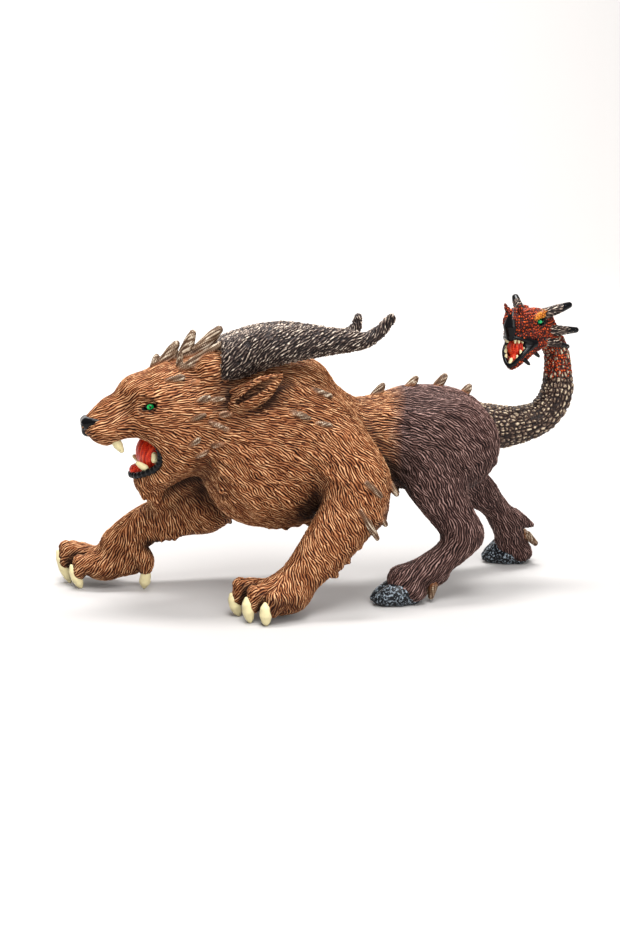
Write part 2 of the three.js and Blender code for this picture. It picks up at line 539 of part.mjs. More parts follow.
// Traces the field's zero surface. Each grid cube is split into six tetrahedra round one diagonal,
// so the surface is closed and no edge has more than two triangles.
function trace(clay) {
  const { field, low, step } = clay;
  const [nx, ny, nz] = clay.size;
  const shift = [1, nx, nx * ny];
  const orders = [[0, 1, 2], [0, 2, 1], [1, 0, 2], [1, 2, 0], [2, 0, 1], [2, 1, 0]];
  const tetrahedra = orders.map(([a, b]) => [0, 1 << a, (1 << a) | (1 << b), 7]);
  const cornerShift = (c) => (c & 1 ? shift[0] : 0) + (c & 2 ? shift[1] : 0) + (c & 4 ? shift[2] : 0);
  const positions = [];
  const triangles = [];
  const known = new Map();

  // The vertex where the surface crosses the edge between two corners of the cube at base.
  const crossing = (base, c0, c1) => {
    const [from, to] = c0 < c1 ? [c0, c1] : [c1, c0];
    const a = base + cornerShift(from);
    const b = base + cornerShift(to);
    const key = a * 8 + (to - from);
    if (known.has(key)) return known.get(key);
    const t = Math.min(0.95, Math.max(0.05, field[a] / (field[a] - field[b])));
    for (let axis = 0, rest = a; axis < 3; axis++) {
      const count = [nx, ny, nz][axis];
      const cell = rest % count;
      rest = (rest - cell) / count;
      const moves = ((to >> axis) & 1) - ((from >> axis) & 1);
      positions.push(low[axis] + (cell + moves * t) * step);
    }
    known.set(key, positions.length / 3 - 1);
    return positions.length / 3 - 1;
  };

  for (let k = 0; k < nz - 1; k++) {
    for (let j = 0; j < ny - 1; j++) {
      for (let i = 0; i < nx - 1; i++) {
        const base = (k * ny + j) * nx + i;
        let full = 0;
        for (let c = 0; c < 8; c++) full += field[base + cornerShift(c)] < 0 ? 1 : 0;
        if (full === 0 || full === 8) continue;
        tetrahedra.forEach((corners, which) => {
          const inside = corners.filter((c) => field[base + cornerShift(c)] < 0);
          if (inside.length === 0 || inside.length === 4) return;
          const outside = corners.filter((c) => !inside.includes(c));
          let loop;
          if (inside.length === 2) {
            const [[p, q], [r, s]] = [inside, outside];
            loop = [[p, r], [p, s], [q, s], [q, r]];
          } else if (inside.length === 1) {
            loop = outside.map((c) => [inside[0], c]);
          } else {
            loop = inside.map((c) => [c, outside[0]]);
          }
          const ring = loop.map(([a, b]) => crossing(base, a, b));
          if (facesIn(positions, ring, inside, outside)) ring.reverse();
          for (let n = 2; n < ring.length; n++) triangles.push(ring[0], ring[n - 1], ring[n]);
        });
      }
    }
  }
  return { positions, triangles };
}

// True if the ring's normal points from the outside corners to the inside ones.
function facesIn(positions, ring, inside, outside) {
  const point = (v) => new THREE.Vector3().fromArray(positions, v * 3);
  const [a, b, c] = ring.map(point);
  const normal = b.sub(a).cross(c.sub(a));
  const middle = (corners) => {
    const sum = new THREE.Vector3();
    for (const c of corners) sum.add(new THREE.Vector3(c & 1, (c >> 1) & 1, (c >> 2) & 1));
    return sum.divideScalar(corners.length);
  };
  return normal.dot(middle(outside).sub(middle(inside))) < 0;
}

// The largest closed shell of the traced surface, which leaves out any pocket sealed inside it.
function outerShell({ positions, triangles }) {
  const leader = Array.from({ length: positions.length / 3 }, (_, v) => v);
  const find = (v) => {
    while (leader[v] !== v) v = leader[v] = leader[leader[v]];
    return v;
  };
  for (let f = 0; f < triangles.length; f += 3) {
    leader[find(triangles[f + 1])] = find(triangles[f]);
    leader[find(triangles[f + 2])] = find(triangles[f]);
  }
  const counts = new Map();
  for (const v of triangles) counts.set(find(v), (counts.get(find(v)) ?? 0) + 1);
  const [largest] = [...counts].sort((a, b) => b[1] - a[1])[0];
  return { positions, triangles: triangles.filter((_, i) => find(triangles[i - (i % 3)]) === largest) };
}

// Thins the traced surface by folding edges together, cheapest first, until `target` triangles
// are left. A point's quadric is the summed squared distance to the planes it has stood for.
function thin({ positions, triangles }, target) {
  const count = positions.length / 3;
  const quadrics = new Float64Array(count * 10);
  const fans = Array.from({ length: count }, () => new Set());
  const faces = [];
  const plane = (a, b, c) => {
    const [ax, ay, az] = [positions[a * 3], positions[a * 3 + 1], positions[a * 3 + 2]];
    const [ux, uy, uz] = [positions[b * 3] - ax, positions[b * 3 + 1] - ay, positions[b * 3 + 2] - az];
    const [vx, vy, vz] = [positions[c * 3] - ax, positions[c * 3 + 1] - ay, positions[c * 3 + 2] - az];
    const [nx, ny, nz] = [uy * vz - uz * vy, uz * vx - ux * vz, ux * vy - uy * vx];
    const twice = Math.hypot(nx, ny, nz) || 1e-12;
    const n = [nx / twice, ny / twice, nz / twice];
    return { n, d: -(n[0] * ax + n[1] * ay + n[2] * az), area: twice / 2 };
  };
  for (let f = 0; f < triangles.length; f += 3) {
    const face = triangles.slice(f, f + 3);
    const { n, d, area } = plane(...face);
    const terms = [...n, d];
    for (const v of face) {
      fans[v].add(faces.length);
      for (let i = 0, at = v * 10; i < 4; i++) {
        for (let j = i; j < 4; j++) quadrics[at++] += terms[i] * terms[j] * area;
      }
    }
    faces.push(face);
  }
  const costAt = (q, x, y, z) =>
    q[0] * x * x + 2 * q[1] * x * y + 2 * q[2] * x * z + 2 * q[3] * x + q[4] * y * y +
    2 * q[5] * y * z + 2 * q[6] * y + q[7] * z * z + 2 * q[8] * z + q[9];

  // The point that costs least on the pair's joined quadric, or the edge's best end or middle.
  const best = (u, v) => {
    const q = new Float64Array(10);
    for (let i = 0; i < 10; i++) q[i] = quadrics[u * 10 + i] + quadrics[v * 10 + i];
    const p = positions.slice(u * 3, u * 3 + 3);
    const r = positions.slice(v * 3, v * 3 + 3);
    const mid = p.map((x, i) => (x + r[i]) / 2);
    const m = new THREE.Matrix3().set(q[0], q[1], q[2], q[1], q[4], q[5], q[2], q[5], q[7]);
    const options = [mid, p, r];
    if (Math.abs(m.determinant()) > 1e-4) {
      const solved = new THREE.Vector3(-q[3], -q[6], -q[8]).applyMatrix3(m.invert()).toArray();
      const span = Math.hypot(...p.map((x, i) => x - r[i]));
      if (Math.hypot(...solved.map((x, i) => x - mid[i])) < span) options.unshift(solved);
    }
    let least = Infinity;
    let place = mid;
    for (const o of options) {
      const cost = costAt(q, ...o);
      if (cost < least) [least, place] = [cost, o];
    }
    const short = Math.hypot(...p.map((x, i) => x - r[i]));
    return { cost: least + 1e-5 * short * short, place };
  };

  const heap = new Heap();
  const stamp = new Uint32Array(count);
  const push = (u, v) => {
    const { cost, place } = best(u, v);
    heap.push({ cost, place, u, v, age: stamp[u] + stamp[v] });
  };
  const neighbours = (v) => {
    const found = new Set();
    for (const f of fans[v]) for (const w of faces[f]) if (w !== v) found.add(w);
    return found;
  };
  for (let v = 0; v < count; v++) for (const w of neighbours(v)) if (v < w) push(v, w);

  // True if moving v to place would fold over a triangle that stays, or make it a sliver.
  const spoils = (v, other, place) => {
    for (const f of fans[v]) {
      if (fans[other].has(f)) continue;
      const before = plane(...faces[f]);
      const kept = positions.slice(v * 3, v * 3 + 3);
      for (let i = 0; i < 3; i++) positions[v * 3 + i] = place[i];
      const after = plane(...faces[f]);
      for (let i = 0; i < 3; i++) positions[v * 3 + i] = kept[i];
      const turn = before.n[0] * after.n[0] + before.n[1] * after.n[1] + before.n[2] * after.n[2];
      if (turn < 0.3 || after.area < 0.02) return true;
    }
    return false;
  };

  let left = faces.length;
  while (left > target && heap.size) {
    const { place, u, v, age } = heap.pop();
    if (!fans[u].size || !fans[v].size || age !== stamp[u] + stamp[v]) continue;
    const shared = [...fans[u]].filter((f) => fans[v].has(f));
    const around = neighbours(u);
    const common = [...neighbours(v)].filter((w) => around.has(w));
    if (shared.length !== 2 || common.length !== 2) continue;
    if (spoils(u, v, place) || spoils(v, u, place)) continue;
    for (const f of shared) for (const w of faces[f]) fans[w].delete(f);
    for (const f of fans[v]) {
      faces[f] = faces[f].map((w) => (w === v ? u : w));
      fans[u].add(f);
    }
    fans[v].clear();
    for (let i = 0; i < 10; i++) quadrics[u * 10 + i] += quadrics[v * 10 + i];
    for (let i = 0; i < 3; i++) positions[u * 3 + i] = place[i];
    left -= 2;
    stamp[u]++;
    for (const w of neighbours(u)) push(u, w);
  }
  const kept = new Set();
  for (const fan of fans) for (const f of fan) kept.add(f);
  return { positions, triangles: [...kept].flatMap((f) => faces[f]) };
}

// A queue that gives the cheapest entry first.
class Heap {
  constructor() {
    this.entries = [];
  }

  get size() {
    return this.entries.length;
  }

  push(entry) {
    const list = this.entries;
    let at = list.push(entry) - 1;
    while (at > 0) {
      const up = (at - 1) >> 1;
      if (list[up].cost <= list[at].cost) break;
      [list[up], list[at]] = [list[at], list[up]];
      at = up;
    }
  }

  pop() {
    const list = this.entries;
    const top = list[0];
    const last = list.pop();
    if (list.length) {
      list[0] = last;
      for (let at = 0; ; ) {
        let down = 2 * at + 1;
        if (down >= list.length) break;
        if (down + 1 < list.length && list[down + 1].cost < list[down].cost) down++;
        if (list[at].cost <= list[down].cost) break;
        [list[at], list[down]] = [list[down], list[at]];
        at = down;
      }
    }
    return top;
  }
}

const wasm = await Module();
wasm.setup();

function solid({ positions, triangles }) {
  const used = [...new Set(triangles)];
  const place = new Map(used.map((v, i) => [v, i]));
  const vertProperties = new Float32Array(used.flatMap((v) => positions.slice(v * 3, v * 3 + 3)));
  const triVerts = new Uint32Array(triangles.map((v) => place.get(v)));
  return new wasm.Manifold(new wasm.Mesh({ numProp: 3, vertProperties, triVerts }));
}

function box(low, high) {
  const size = high.map((h, i) => h - low[i]);
  const g = new THREE.BoxGeometry(...size).translate(...low.map((l, i) => l + size[i] / 2));
  g.deleteAttribute("normal");
  g.deleteAttribute("uv");
  const merged = mergeVertices(g);
  return solid({
    positions: [...merged.attributes.position.array],
    triangles: [...merged.index.array],
  });
}

function geometryOf(made) {
  const mesh = made.getMesh();
  const points = new Float32Array(mesh.vertProperties);
  return new THREE.BufferGeometry()
    .setAttribute("position", new THREE.BufferAttribute(points, 3))
    .setIndex(new THREE.BufferAttribute(new Uint32Array(mesh.triVerts), 1));
}

const thinned = thin(outerShell(trace(model())), TRIANGLES);
const ground = box([-REACH[0], -REACH[1], -6], [REACH[0], REACH[1], 0]);
const figure = new THREE.Mesh(
  geometryOf(solid(thinned).subtract(ground)),
  new THREE.MeshStandardMaterial({ color: 0x8a5a35, roughness: 0.65, metalness: 0 }),
);
figure.name = "chimera_figure";
figure.geometry.computeBoundingBox();
const middle = figure.geometry.boundingBox.getCenter(new THREE.Vector3());
figure.position.set(-middle.x, -middle.y, 0);

const chimera = new THREE.Group();
chimera.add(figure);

export default chimera;
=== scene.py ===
# A painted plastic figurine of a chimera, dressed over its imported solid.
#
# The forms are worked up like clay, in millimetres, from the same named masses as the solid: each
# muscle, bone and tuft is a rounded mass, and the masses are blended into a signed distance field.
# The field is traced on a fine grid, and the fur, scales and bark of the horns are raised from the
# traced surface: wavy lines along the lie of the hair, and noise averaged along it. The materials
# repeat them from the same stored place and direction, so that paint and relief agree.

import math
from concurrent.futures import ThreadPoolExecutor

import bpy
import numpy as np
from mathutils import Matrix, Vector


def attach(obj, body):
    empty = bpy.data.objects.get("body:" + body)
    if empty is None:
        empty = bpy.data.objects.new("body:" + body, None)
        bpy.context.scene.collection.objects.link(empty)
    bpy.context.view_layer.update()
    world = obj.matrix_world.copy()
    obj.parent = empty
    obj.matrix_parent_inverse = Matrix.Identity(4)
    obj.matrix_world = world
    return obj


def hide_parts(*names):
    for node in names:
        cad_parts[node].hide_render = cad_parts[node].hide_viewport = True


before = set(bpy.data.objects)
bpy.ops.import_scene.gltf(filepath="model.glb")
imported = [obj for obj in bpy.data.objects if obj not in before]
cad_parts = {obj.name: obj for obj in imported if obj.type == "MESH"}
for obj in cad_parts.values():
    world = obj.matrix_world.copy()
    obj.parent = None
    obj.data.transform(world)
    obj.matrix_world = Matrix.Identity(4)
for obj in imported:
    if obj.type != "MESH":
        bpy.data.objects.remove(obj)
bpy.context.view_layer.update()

SHIFT = np.float32([1.218, -3.795, 0])  # the modelling origin's place in the part's frame
TO_METRES = 0.001

CREST = 3.9  # breadth of the spikes on the forehead
STUD = 2.6  # breadth of the flat spikes in the fur
CLAW = 2.1  # half a claw's breadth
TOE = 3.3  # radius of a lion's toe
TUFT = 1.5  # radius of a tuft of fur at its root
LOCK = 2.4  # radius of a lock of the mane
LOCK_LENGTH = 11  # and its length

LEFT = -1
RIGHT = 1
SIDES = (LEFT, RIGHT)

BODY_STEP = 0.41  # spacing of the grid that the skin, horns and hooves are traced on
TAIL_STEP = 0.38  # of the tail and the spikes
HEAD_STEP = 0.34  # of the snake's head
FINE_STEP = 0.32  # of claws, lips and other small forms
EYE_STEP = 0.2  # of eyes and the snake's teeth
COARSE = 3  # a coarse cell is this many fine ones across
MARGIN = 3  # each mass is worked out this many coarse cells round it
LIVE = 1.6  # and the fine grid this many coarse cells round the surface
BATCH = 6000  # cells worked on at a time
CHUNK = 40000  # points worked on at a time
CORES = 4
OUTSIDE = 1e3  # the distance where there is no mass
AWAY = 9  # the distance given to cells that the surface doesn't come near
FAR = 999  # beyond every form
WIDEST = 43  # as far out as the side of the body is felt for
FEELER = 0.25  # and how finely

# Rounded masses


class Mass:
    """A distance function, negative inside, and the box that holds the form."""

    def __init__(self, low, high, distance):
        self.low = np.float32(low)
        self.high = np.float32(high)
        self.distance = distance


def length_of(vectors):
    return np.sqrt((vectors * vectors).sum(-1))


def unit(vector):
    vector = np.asarray(vector, float)
    return vector / max(length_of(vector), 1e-9)


LEVEL = ((1, 0, 0), (0, 1, 0), (0, 0, 1))


def ball(centre, radii, axes=LEVEL):
    """An ellipsoid whose three radii run along the axes."""
    centre, radii, turn = np.float32(centre), np.float32(radii), np.float32(axes).T
    reach = radii.max()

    def distance(p):
        q = (p - centre) @ turn / radii
        inside = length_of(q)
        return inside * (inside - 1) / np.maximum(length_of(q / radii), 1e-6)

    return Mass(centre - reach, centre + reach, distance)


def cone_distance(p, start, end):
    """Distance to a round cone between two balls, as x, y, z, radius each."""
    line = end[:3] - start[:3]
    length = max(length_of(line), 1e-6)
    slope = (start[3] - end[3]) / length
    if abs(slope) >= 1:
        big = start if slope > 0 else end
        return length_of(p - big[:3]) - big[3]
    q = p - start[:3]
    along = q @ (line / length)
    out = np.sqrt(np.maximum((q * q).sum(1) - along * along, 0))
    way = np.clip(along - out * (slope / math.sqrt(1 - slope * slope)), 0, length)
    return np.sqrt((along - way) ** 2 + out * out) - (start[3] - way * slope)


def curve(knots, pieces):
    """Points along a centripetal Catmull-Rom curve through knots of x, y, z, radius."""
    knots = np.asarray(knots, float)
    last = len(knots) - 1
    ends = np.vstack([2 * knots[0] - knots[1], knots, 2 * knots[-1] - knots[-2]])
    points = []
    for i in range(pieces + 1):
        t = i / pieces * last
        k = min(int(t), last - 1)
        t -= k
        p0, p1, p2, p3 = ends[k:k + 4, :3]
        d0, d1, d2 = [math.sqrt(length_of(b - a)) for a, b in ((p0, p1), (p1, p2), (p2, p3))]
        m1 = ((p1 - p0) / d0 - (p2 - p0) / (d0 + d1) + (p2 - p1) / d1) * d1
        m2 = ((p2 - p1) / d1 - (p3 - p1) / (d1 + d2) + (p3 - p2) / d2) * d1
        place = p1 + t * (m1 + t * (3 * (p2 - p1) - 2 * m1 - m2 + t * (2 * (p1 - p2) + m1 + m2)))
        points.append([*place, knots[k][3] + (knots[k + 1][3] - knots[k][3]) * t])
    return np.float32(points)


def limb(knots, flat=None):
    """A smooth run of round cones. Flat, as (direction, share), thins it along a direction."""
    run = curve(knots, (len(knots) - 1) * 3) if len(knots) > 2 else np.float32(knots)
    wide = max(1, flat[1]) if flat else 1
    low = (run[:, :3] - run[:, 3:] * wide).min(0)
    high = (run[:, :3] + run[:, 3:] * wide).max(0)

    def nearest(p):
        found = cone_distance(p, run[0], run[1])
        for start, end in zip(run[1:-1], run[2:]):
            np.minimum(found, cone_distance(p, start, end), out=found)
        return found

    if not flat:
        return Mass(low, high, nearest)
    n = np.float32(unit(flat[0]))
    middle = run[len(run) // 2, :3]

    def flattened(p):
        off = (p - middle) @ n * (1 / flat[1] - 1)
        return nearest(p + off[:, None] * n) * min(1, flat[1])

    return Mass(low, high, flattened)


def moved(place, direction, way):
    """The point a given way from a place along a direction."""
    return [place[i] + direction[i] * way for i in range(3)]


def mirror(side, knot):
    """The same point, or run of points, on the left or the right side."""
    if isinstance(knot[0], (list, tuple)):
        return [mirror(side, k) for k in knot]
    return [knot[0], side * knot[1], *knot[2:]]


class Clay:
    """Masses in the order they are blended, and the grid that their surface is traced on."""

    def __init__(self, step):
        self.step = step
        self.work = []

    def add(self, mass, soft):
        self.work.append((mass, soft, 1))

    def carve(self, mass, soft):
        self.work.append((mass, soft, -1))

    def field_at(self, centres, offsets, margin):
        """The blended distance at each centre plus each offset."""
        field = np.full((len(centres), len(offsets)), OUTSIDE, np.float32)
        for mass, soft, sign in self.work:
            reach = soft + margin
            near = ((centres > mass.low - reach) & (centres < mass.high + reach)).all(1)
            rows = np.flatnonzero(near)
            if not len(rows):
                continue
            points = (centres[rows, None] + offsets[None]).reshape(-1, 3)
            b = mass.distance(points).reshape(len(rows), -1)
            a = field[rows] * sign
            h = np.maximum(soft - np.abs(a - b), 0)
            field[rows] = (np.minimum(a, b) - h * h * (0.25 / soft)) * sign
        return field

    def spread(self, centres, offsets, margin):
        """field_at for many centres, on several cores."""
        parts = np.array_split(centres, max(CORES, len(centres) // BATCH))
        with ThreadPoolExecutor(CORES) as pool:
            fields = list(pool.map(lambda part: self.field_at(part, offsets, margin), parts))
        return np.concatenate(fields)

    def lay(self):
        """The field on the coarse grid that holds all the masses."""
        cell = self.step * COARSE
        added = [mass for mass, _, sign in self.work if sign > 0]
        low = np.min([mass.low for mass in added], 0) - 2 * cell
        high = np.max([mass.high for mass in added], 0) + 2 * cell
        self.low = low
        self.size = np.ceil((high - low) / cell).astype(int) + 1
        axes = [low[i] + cell * np.arange(self.size[i], dtype=np.float32) for i in range(3)]
        points = np.stack(np.meshgrid(*axes, indexing="ij"), -1).reshape(-1, 3)
        field = self.spread(points, np.zeros((1, 3), np.float32), MARGIN * cell)
        self.coarse = field.reshape(self.size)

    def side_of(self, xz, side):
        """How far out the surface lies at each x, z, seen from one side."""
        cell = self.step * COARSE
        outs = np.arange(WIDEST, 0, -FEELER, dtype=np.float32)
        x, out = np.meshgrid(xz[:, 0], outs, indexing="ij")
        z = np.repeat(xz[:, 1:], len(outs), 1)
        inside = sample(self.coarse, self.low, cell, np.stack([x, side * out, z], -1)) < 0
        return np.where(inside.any(1), outs[inside.argmax(1)], 0)

    def trace(self):
        """Vertices and quads of the zero surface, by surface nets on the fine grid."""
        self.lay()
        cell = self.step * COARSE
        near = np.abs(self.coarse) < LIVE * cell
        live = np.zeros(self.size - 1, bool)
        for corner in corners_of(near):
            live |= corner
        cells = np.argwhere(live)
        offsets = np.stack(np.meshgrid(*[np.arange(COARSE)] * 3, indexing="ij"), -1).reshape(-1, 3)
        centres = (self.low + cells * cell).astype(np.float32)
        values = self.spread(centres, (offsets * self.step).astype(np.float32), MARGIN * cell)
        sign = np.where(self.coarse[:-1, :-1, :-1] < 0, np.float32(-AWAY), np.float32(AWAY))
        fine = np.repeat(np.repeat(np.repeat(sign, COARSE, 0), COARSE, 1), COARSE, 2)
        blocks = fine.reshape(sum(([n, COARSE] for n in self.size - 1), []))
        blocks = blocks.transpose(0, 2, 4, 1, 3, 5)
        blocks[tuple(cells.T)] = values.reshape(-1, COARSE, COARSE, COARSE)
        return Surface(fine, self.low, self.step)


def corners_of(grid):
    """The values of a grid at each of the eight corners of its cells."""
    for i, j, k in np.ndindex(2, 2, 2):
        yield grid[i:i - 1 or None, j:j - 1 or None, k:k - 1 or None]


def sample(field, low, step, points):
    """Trilinear values of a grid at points."""
    shape = points.shape[:-1]
    q = (points.reshape(-1, 3) - low) / step
    q = np.clip(q, 0, np.array(field.shape) - 1.001)
    base = q.astype(np.int64)
    f = (q - base).astype(np.float32)
    strides = np.array([field.shape[1] * field.shape[2], field.shape[2], 1])
    at = base @ strides
    flat = field.reshape(-1)
    total = 0
    for corner in np.ndindex(2, 2, 2):
        weight = np.prod(np.where(corner, f, 1 - f), 1)
        total = total + weight * flat[at + np.dot(corner, strides)]
    return total.reshape(shape)


class Surface:
    """A traced surface: points in millimetres, quads, and the grid that it came from."""

    def __init__(self, field, low, step):
        self.field, self.low, self.step = field, np.float32(low), step
        inside = field < 0
        corners = list(np.ndindex(2, 2, 2))
        count = np.zeros(np.array(field.shape) - 1, np.uint8)
        for corner in corners_of(inside):
            count += corner
        mixed = (count > 0) & (count < 8)
        cells = np.argwhere(mixed)
        ids = np.full(mixed.shape, -1, np.int32)
        ids[mixed] = np.arange(len(cells))
        values = {c: field[tuple((cells + c).T)] for c in corners}
        total = np.zeros((len(cells), 3), np.float32)
        crossings = np.zeros(len(cells), np.float32)
        for a in corners:
            for axis in range(3):
                if a[axis]:
                    continue
                b = tuple(1 if i == axis else a[i] for i in range(3))
                cross = (values[a] < 0) != (values[b] < 0)
                share = values[a][cross] / (values[a][cross] - values[b][cross])
                place = np.tile(np.float32(a), (len(share), 1))
                place[:, axis] = share
                total[cross] += place
                crossings[cross] += 1
        self.points = self.low + (cells + total / crossings[:, None]) * np.float32(step)
        quads = []
        for axis in range(3):
            ahead = tuple(slice(1, None) if i == axis else slice(None) for i in range(3))
            behind = tuple(slice(None, -1) if i == axis else slice(None) for i in range(3))
            edges = np.argwhere(inside[behind] != inside[ahead])
            u, v = np.eye(3, dtype=int)[(axis + 1) % 3], np.eye(3, dtype=int)[(axis + 2) % 3]
            ring = np.stack([ids[tuple((edges - s).T)] for s in (u + v, v, 0 * u, u)], 1)
            outward = inside[tuple(edges.T)]
            ring[~outward] = ring[~outward][:, ::-1]
            quads.append(ring)
        self.quads = np.concatenate(quads)

    def normals(self):
        ways = np.eye(3, dtype=np.float32) * self.step
        slopes = [sample(self.field, self.low, self.step, self.points + w)
                  - sample(self.field, self.low, self.step, self.points - w) for w in ways]
        n = np.stack(slopes, -1)
        return n / np.maximum(length_of(n), 1e-6)[:, None]

    def settle(self, rounds=3):
        """Evens out the spacing of the points and draws them onto the zero surface."""
        a, b = self.quads.ravel(), np.roll(self.quads, 1, axis=1).ravel()
        count = len(self.points)
        degree = np.bincount(a, minlength=count) + np.bincount(b, minlength=count)
        for _ in range(rounds):
            mean = np.stack([np.bincount(a, self.points[b, i], count)
                             + np.bincount(b, self.points[a, i], count) for i in range(3)], 1)
            mean = (mean / np.maximum(degree, 1)[:, None]).astype(np.float32)
            n = self.normals()
            pull = (mean - self.points) * 0.6
            pull -= (pull * n).sum(1)[:, None] * n
            self.points += pull
            value = sample(self.field, self.low, self.step, self.points)
            self.points -= np.clip(value, -self.step, self.step)[:, None] * n
        return self

    def largest(self):
        """Leaves out pockets sealed inside the form."""
        leader = np.arange(len(self.points))
        a, b = self.quads.ravel(), np.roll(self.quads, 1, axis=1).ravel()
        while True:
            least = np.minimum(leader[a], leader[b])
            before = leader.copy()
            np.minimum.at(leader, leader[a], least)
            np.minimum.at(leader, leader[b], least)
            leader = leader[leader]
            if (leader == before).all():
                break
        quads = self.quads[leader[self.quads[:, 0]] == np.bincount(leader).argmax()]
        used, inverse = np.unique(quads, return_inverse=True)
        self.points, self.quads = self.points[used], inverse.reshape(quads.shape)
        return self


# The forms. Each is blended into the clay that it is handed.


def trunk(body):
    """The lion's trunk from chest to loin, the goat's rump, and the hump of the mane."""
    body.add(ball([-15, 0, 54.5], [27.5, 21.5, 29]), 7)
    body.add(ball([-27, 0, 49.2], [14.6, 18.5, 20.2]), 7)
    body.add(limb([[-5, 0, 54, 18], [12, 0, 54, 16.2], [28, 0, 56.2, 16.4]], ([0, 1, 0], 0.88)), 5)
    body.add(ball([39, 0, 55], [23, 15.5, 18.8]), 6)
    body.add(ball([-13.6, 0, 66], [18, 17, 19.4]), 2)
    body.add(ball([-8.8, 0, 74.4], [11.4, 13, 11]), 2)


def neck(body):
    body.add(limb([[-48, 0, 65, 17], [-38, 0, 66, 18], [-24, 0, 62, 21]], ([0, 1, 0], 0.92)), 7)
    body.add(limb([[-49, 0, 72.4, 12.6], [-40, 0, 75, 13]], ([0, 1, 0], 0.85)), 5)


EYE = [-61.3, 7.3, 71.2]
EYE_RADII = [2.3, 2.6, 2]


def head(body):
    body.add(ball([-53, 0, 71], [15, 13, 12.8]), 5)
    body.add(ball([-63.4, 0, 74.8], [8, 7.5, 6.5]), 2.5)
    body.add(limb([[-64, 0, 71.6, 6.5], [-73, 0, 68, 5.8], [-79.6, 0, 64, 4.1]]), 2.5)
    for side in SIDES:
        body.add(ball(mirror(side, [-74.3, 4.4, 62.4]), [7.2, 4.4, 4.8]), 2.5)
        body.add(ball(mirror(side, [-67.5, 6, 64]), [7.5, 4, 4.6]), 2.5)
        body.add(ball(mirror(side, [-58, 8.3, 66.5]), [9, 5.5, 8]), 3.5)
        body.add(ball(mirror(side, [-52, 9, 59]), [9, 6, 10]), 4)
        brow = [[-66.5, 4.2, 75.8, 2.2], [-61.5, 8.2, 75.2, 2.4], [-55, 10.8, 75.3, 2]]
        body.add(limb(mirror(side, brow)), 2.5)
        body.carve(ball(mirror(side, [-61.8, 10.4, 71.2]), [3.6, 2.6, 2.4]), 2)
        body.add(ball(mirror(side, EYE), [r - 0.5 for r in EYE_RADII]), 0.5)
        for rim in ([[-64.6, 7.8, 69.9, 0.7], [-61.8, 9.7, 69.4, 0.8], [-58.4, 10.2, 71.2, 0.7]],
                    [[-64.6, 7.8, 70.6, 0.7], [-62, 9.6, 73, 0.8], [-58.6, 10.4, 72.6, 0.8]]):
            body.add(limb(mirror(side, rim)), 0.8)


def eyes(clay):
    for side in SIDES:
        clay.add(ball(mirror(side, EYE), EYE_RADII), 0.3)


def nose(clay):
    """A wedge: broad and flat on top, with a wing down each side."""
    clay.add(ball([-81.3, 0, 64.8], [2.7, 4.3, 2.6]), 1)
    clay.add(ball([-81.6, 0, 62.2], [2.1, 2.2, 2]), 1)
    for side in SIDES:
        wing = [[-82, 2.4, 65.2, 2], [-80, 4, 65.6, 1.5], [-77.4, 5.2, 66, 0.8]]
        clay.add(limb(mirror(side, wing)), 0.8)
        clay.carve(ball(mirror(side, [-83.6, 2.3, 64.2]), [1.5, 1, 0.8]), 0.5)


GAPE = ([-67.4, 0, 54], [8.9, 40, 6.7])  # the open mouth


def jaw(body):
    for side in SIDES:
        bone = [[-52, 7.5, 53, 5.2], [-58.5, 5.5, 47.5, 4.2], [-62.8, 2.2, 44.4, 3.5]]
        body.add(limb(mirror(side, bone)), 3)
    body.add(limb([[-59, 0, 45, 5], [-50, 0, 52, 7]]), 4)
    body.add(limb([[-61.3, 0, 42.8, 4], [-60.2, 0, 39.6, 2.8], [-61.2, 0, 37.4, 1.2]]), 2)
    body.carve(ball(*GAPE), 1.2)


def tongue(clay):
    clay.add(ball([-59.4, 0, 54], [6.2, 8, 6.8]), 1)
    clay.add(limb([[-58, 0, 50, 3.4], [-63, 0, 48.6, 2.8], [-66, 0, 48, 2]], ([0, 1, 0], 1.4)), 1)


LIP_BEADS = 13  # on each side, after the first


def lips(clay):
    lip = [[-60.2, 11.6, 58.2, 0.5], [-58.8, 11.8, 55.6, 0.9], [-58.7, 11.6, 52.8, 1.1],
           [-60.2, 10, 50.2, 1.3], [-63.2, 7.6, 48.3, 1.3], [-65.8, 4.6, 47, 1.2],
           [-67.4, 1.2, 46.6, 1.1]]
    for side in SIDES:
        for bead in curve(mirror(side, lip), LIP_BEADS):
            clay.add(ball(bead[:3], [bead[3]] * 3), 0.15)


def teeth(clay):
    upper = [[-73, 5.6, 59.8, 1.7], [-72, 5.9, 58, 1.6], [-70.9, 5.8, 56.1, 0.9]]
    lower = [[-63.2, 6.4, 49.8, 1.2], [-64.6, 6.2, 50.8, 1.1], [-65.6, 6, 51.5, 0.8]]
    back = [[-60.2, 8.8, 53, 1.2], [-60.3, 8.6, 54.8, 0.9]]
    for side in SIDES:
        for tooth in (upper, lower, back):
            clay.add(limb(mirror(side, tooth)), 0.3)


EAR_SLIT = [[-33.6, 19.6, 73.4, 0.6], [-29.6, 21, 76.2, 1.1], [-25.4, 22, 79, 1.1],
            [-21.2, 22.6, 81.2, 0.4]]


def ears(body):
    """A leaf-shaped ear laid back along the mane, with a slit down it."""
    for side in SIDES:
        leaf = [[-34, 15, 72.4, 3.2], [-29.6, 18, 74.6, 4.2], [-25, 19.8, 77.2, 3.8],
                [-21.6, 20.8, 79.6, 2.3], [-18.8, 21.2, 81.8, 0.9]]
        body.add(limb(mirror(side, leaf), ([0.25, side, -0.1], 0.62)), 1)
        rim = [[-34.6, 16.6, 76.2, 1.3], [-30, 19.6, 78.6, 1.3], [-25.4, 21.2, 81, 1.1],
               [-21, 21.6, 82, 0.8]]
        body.add(limb(mirror(side, rim)), 1)
        body.carve(limb(mirror(side, EAR_SLIT)), 0.8)


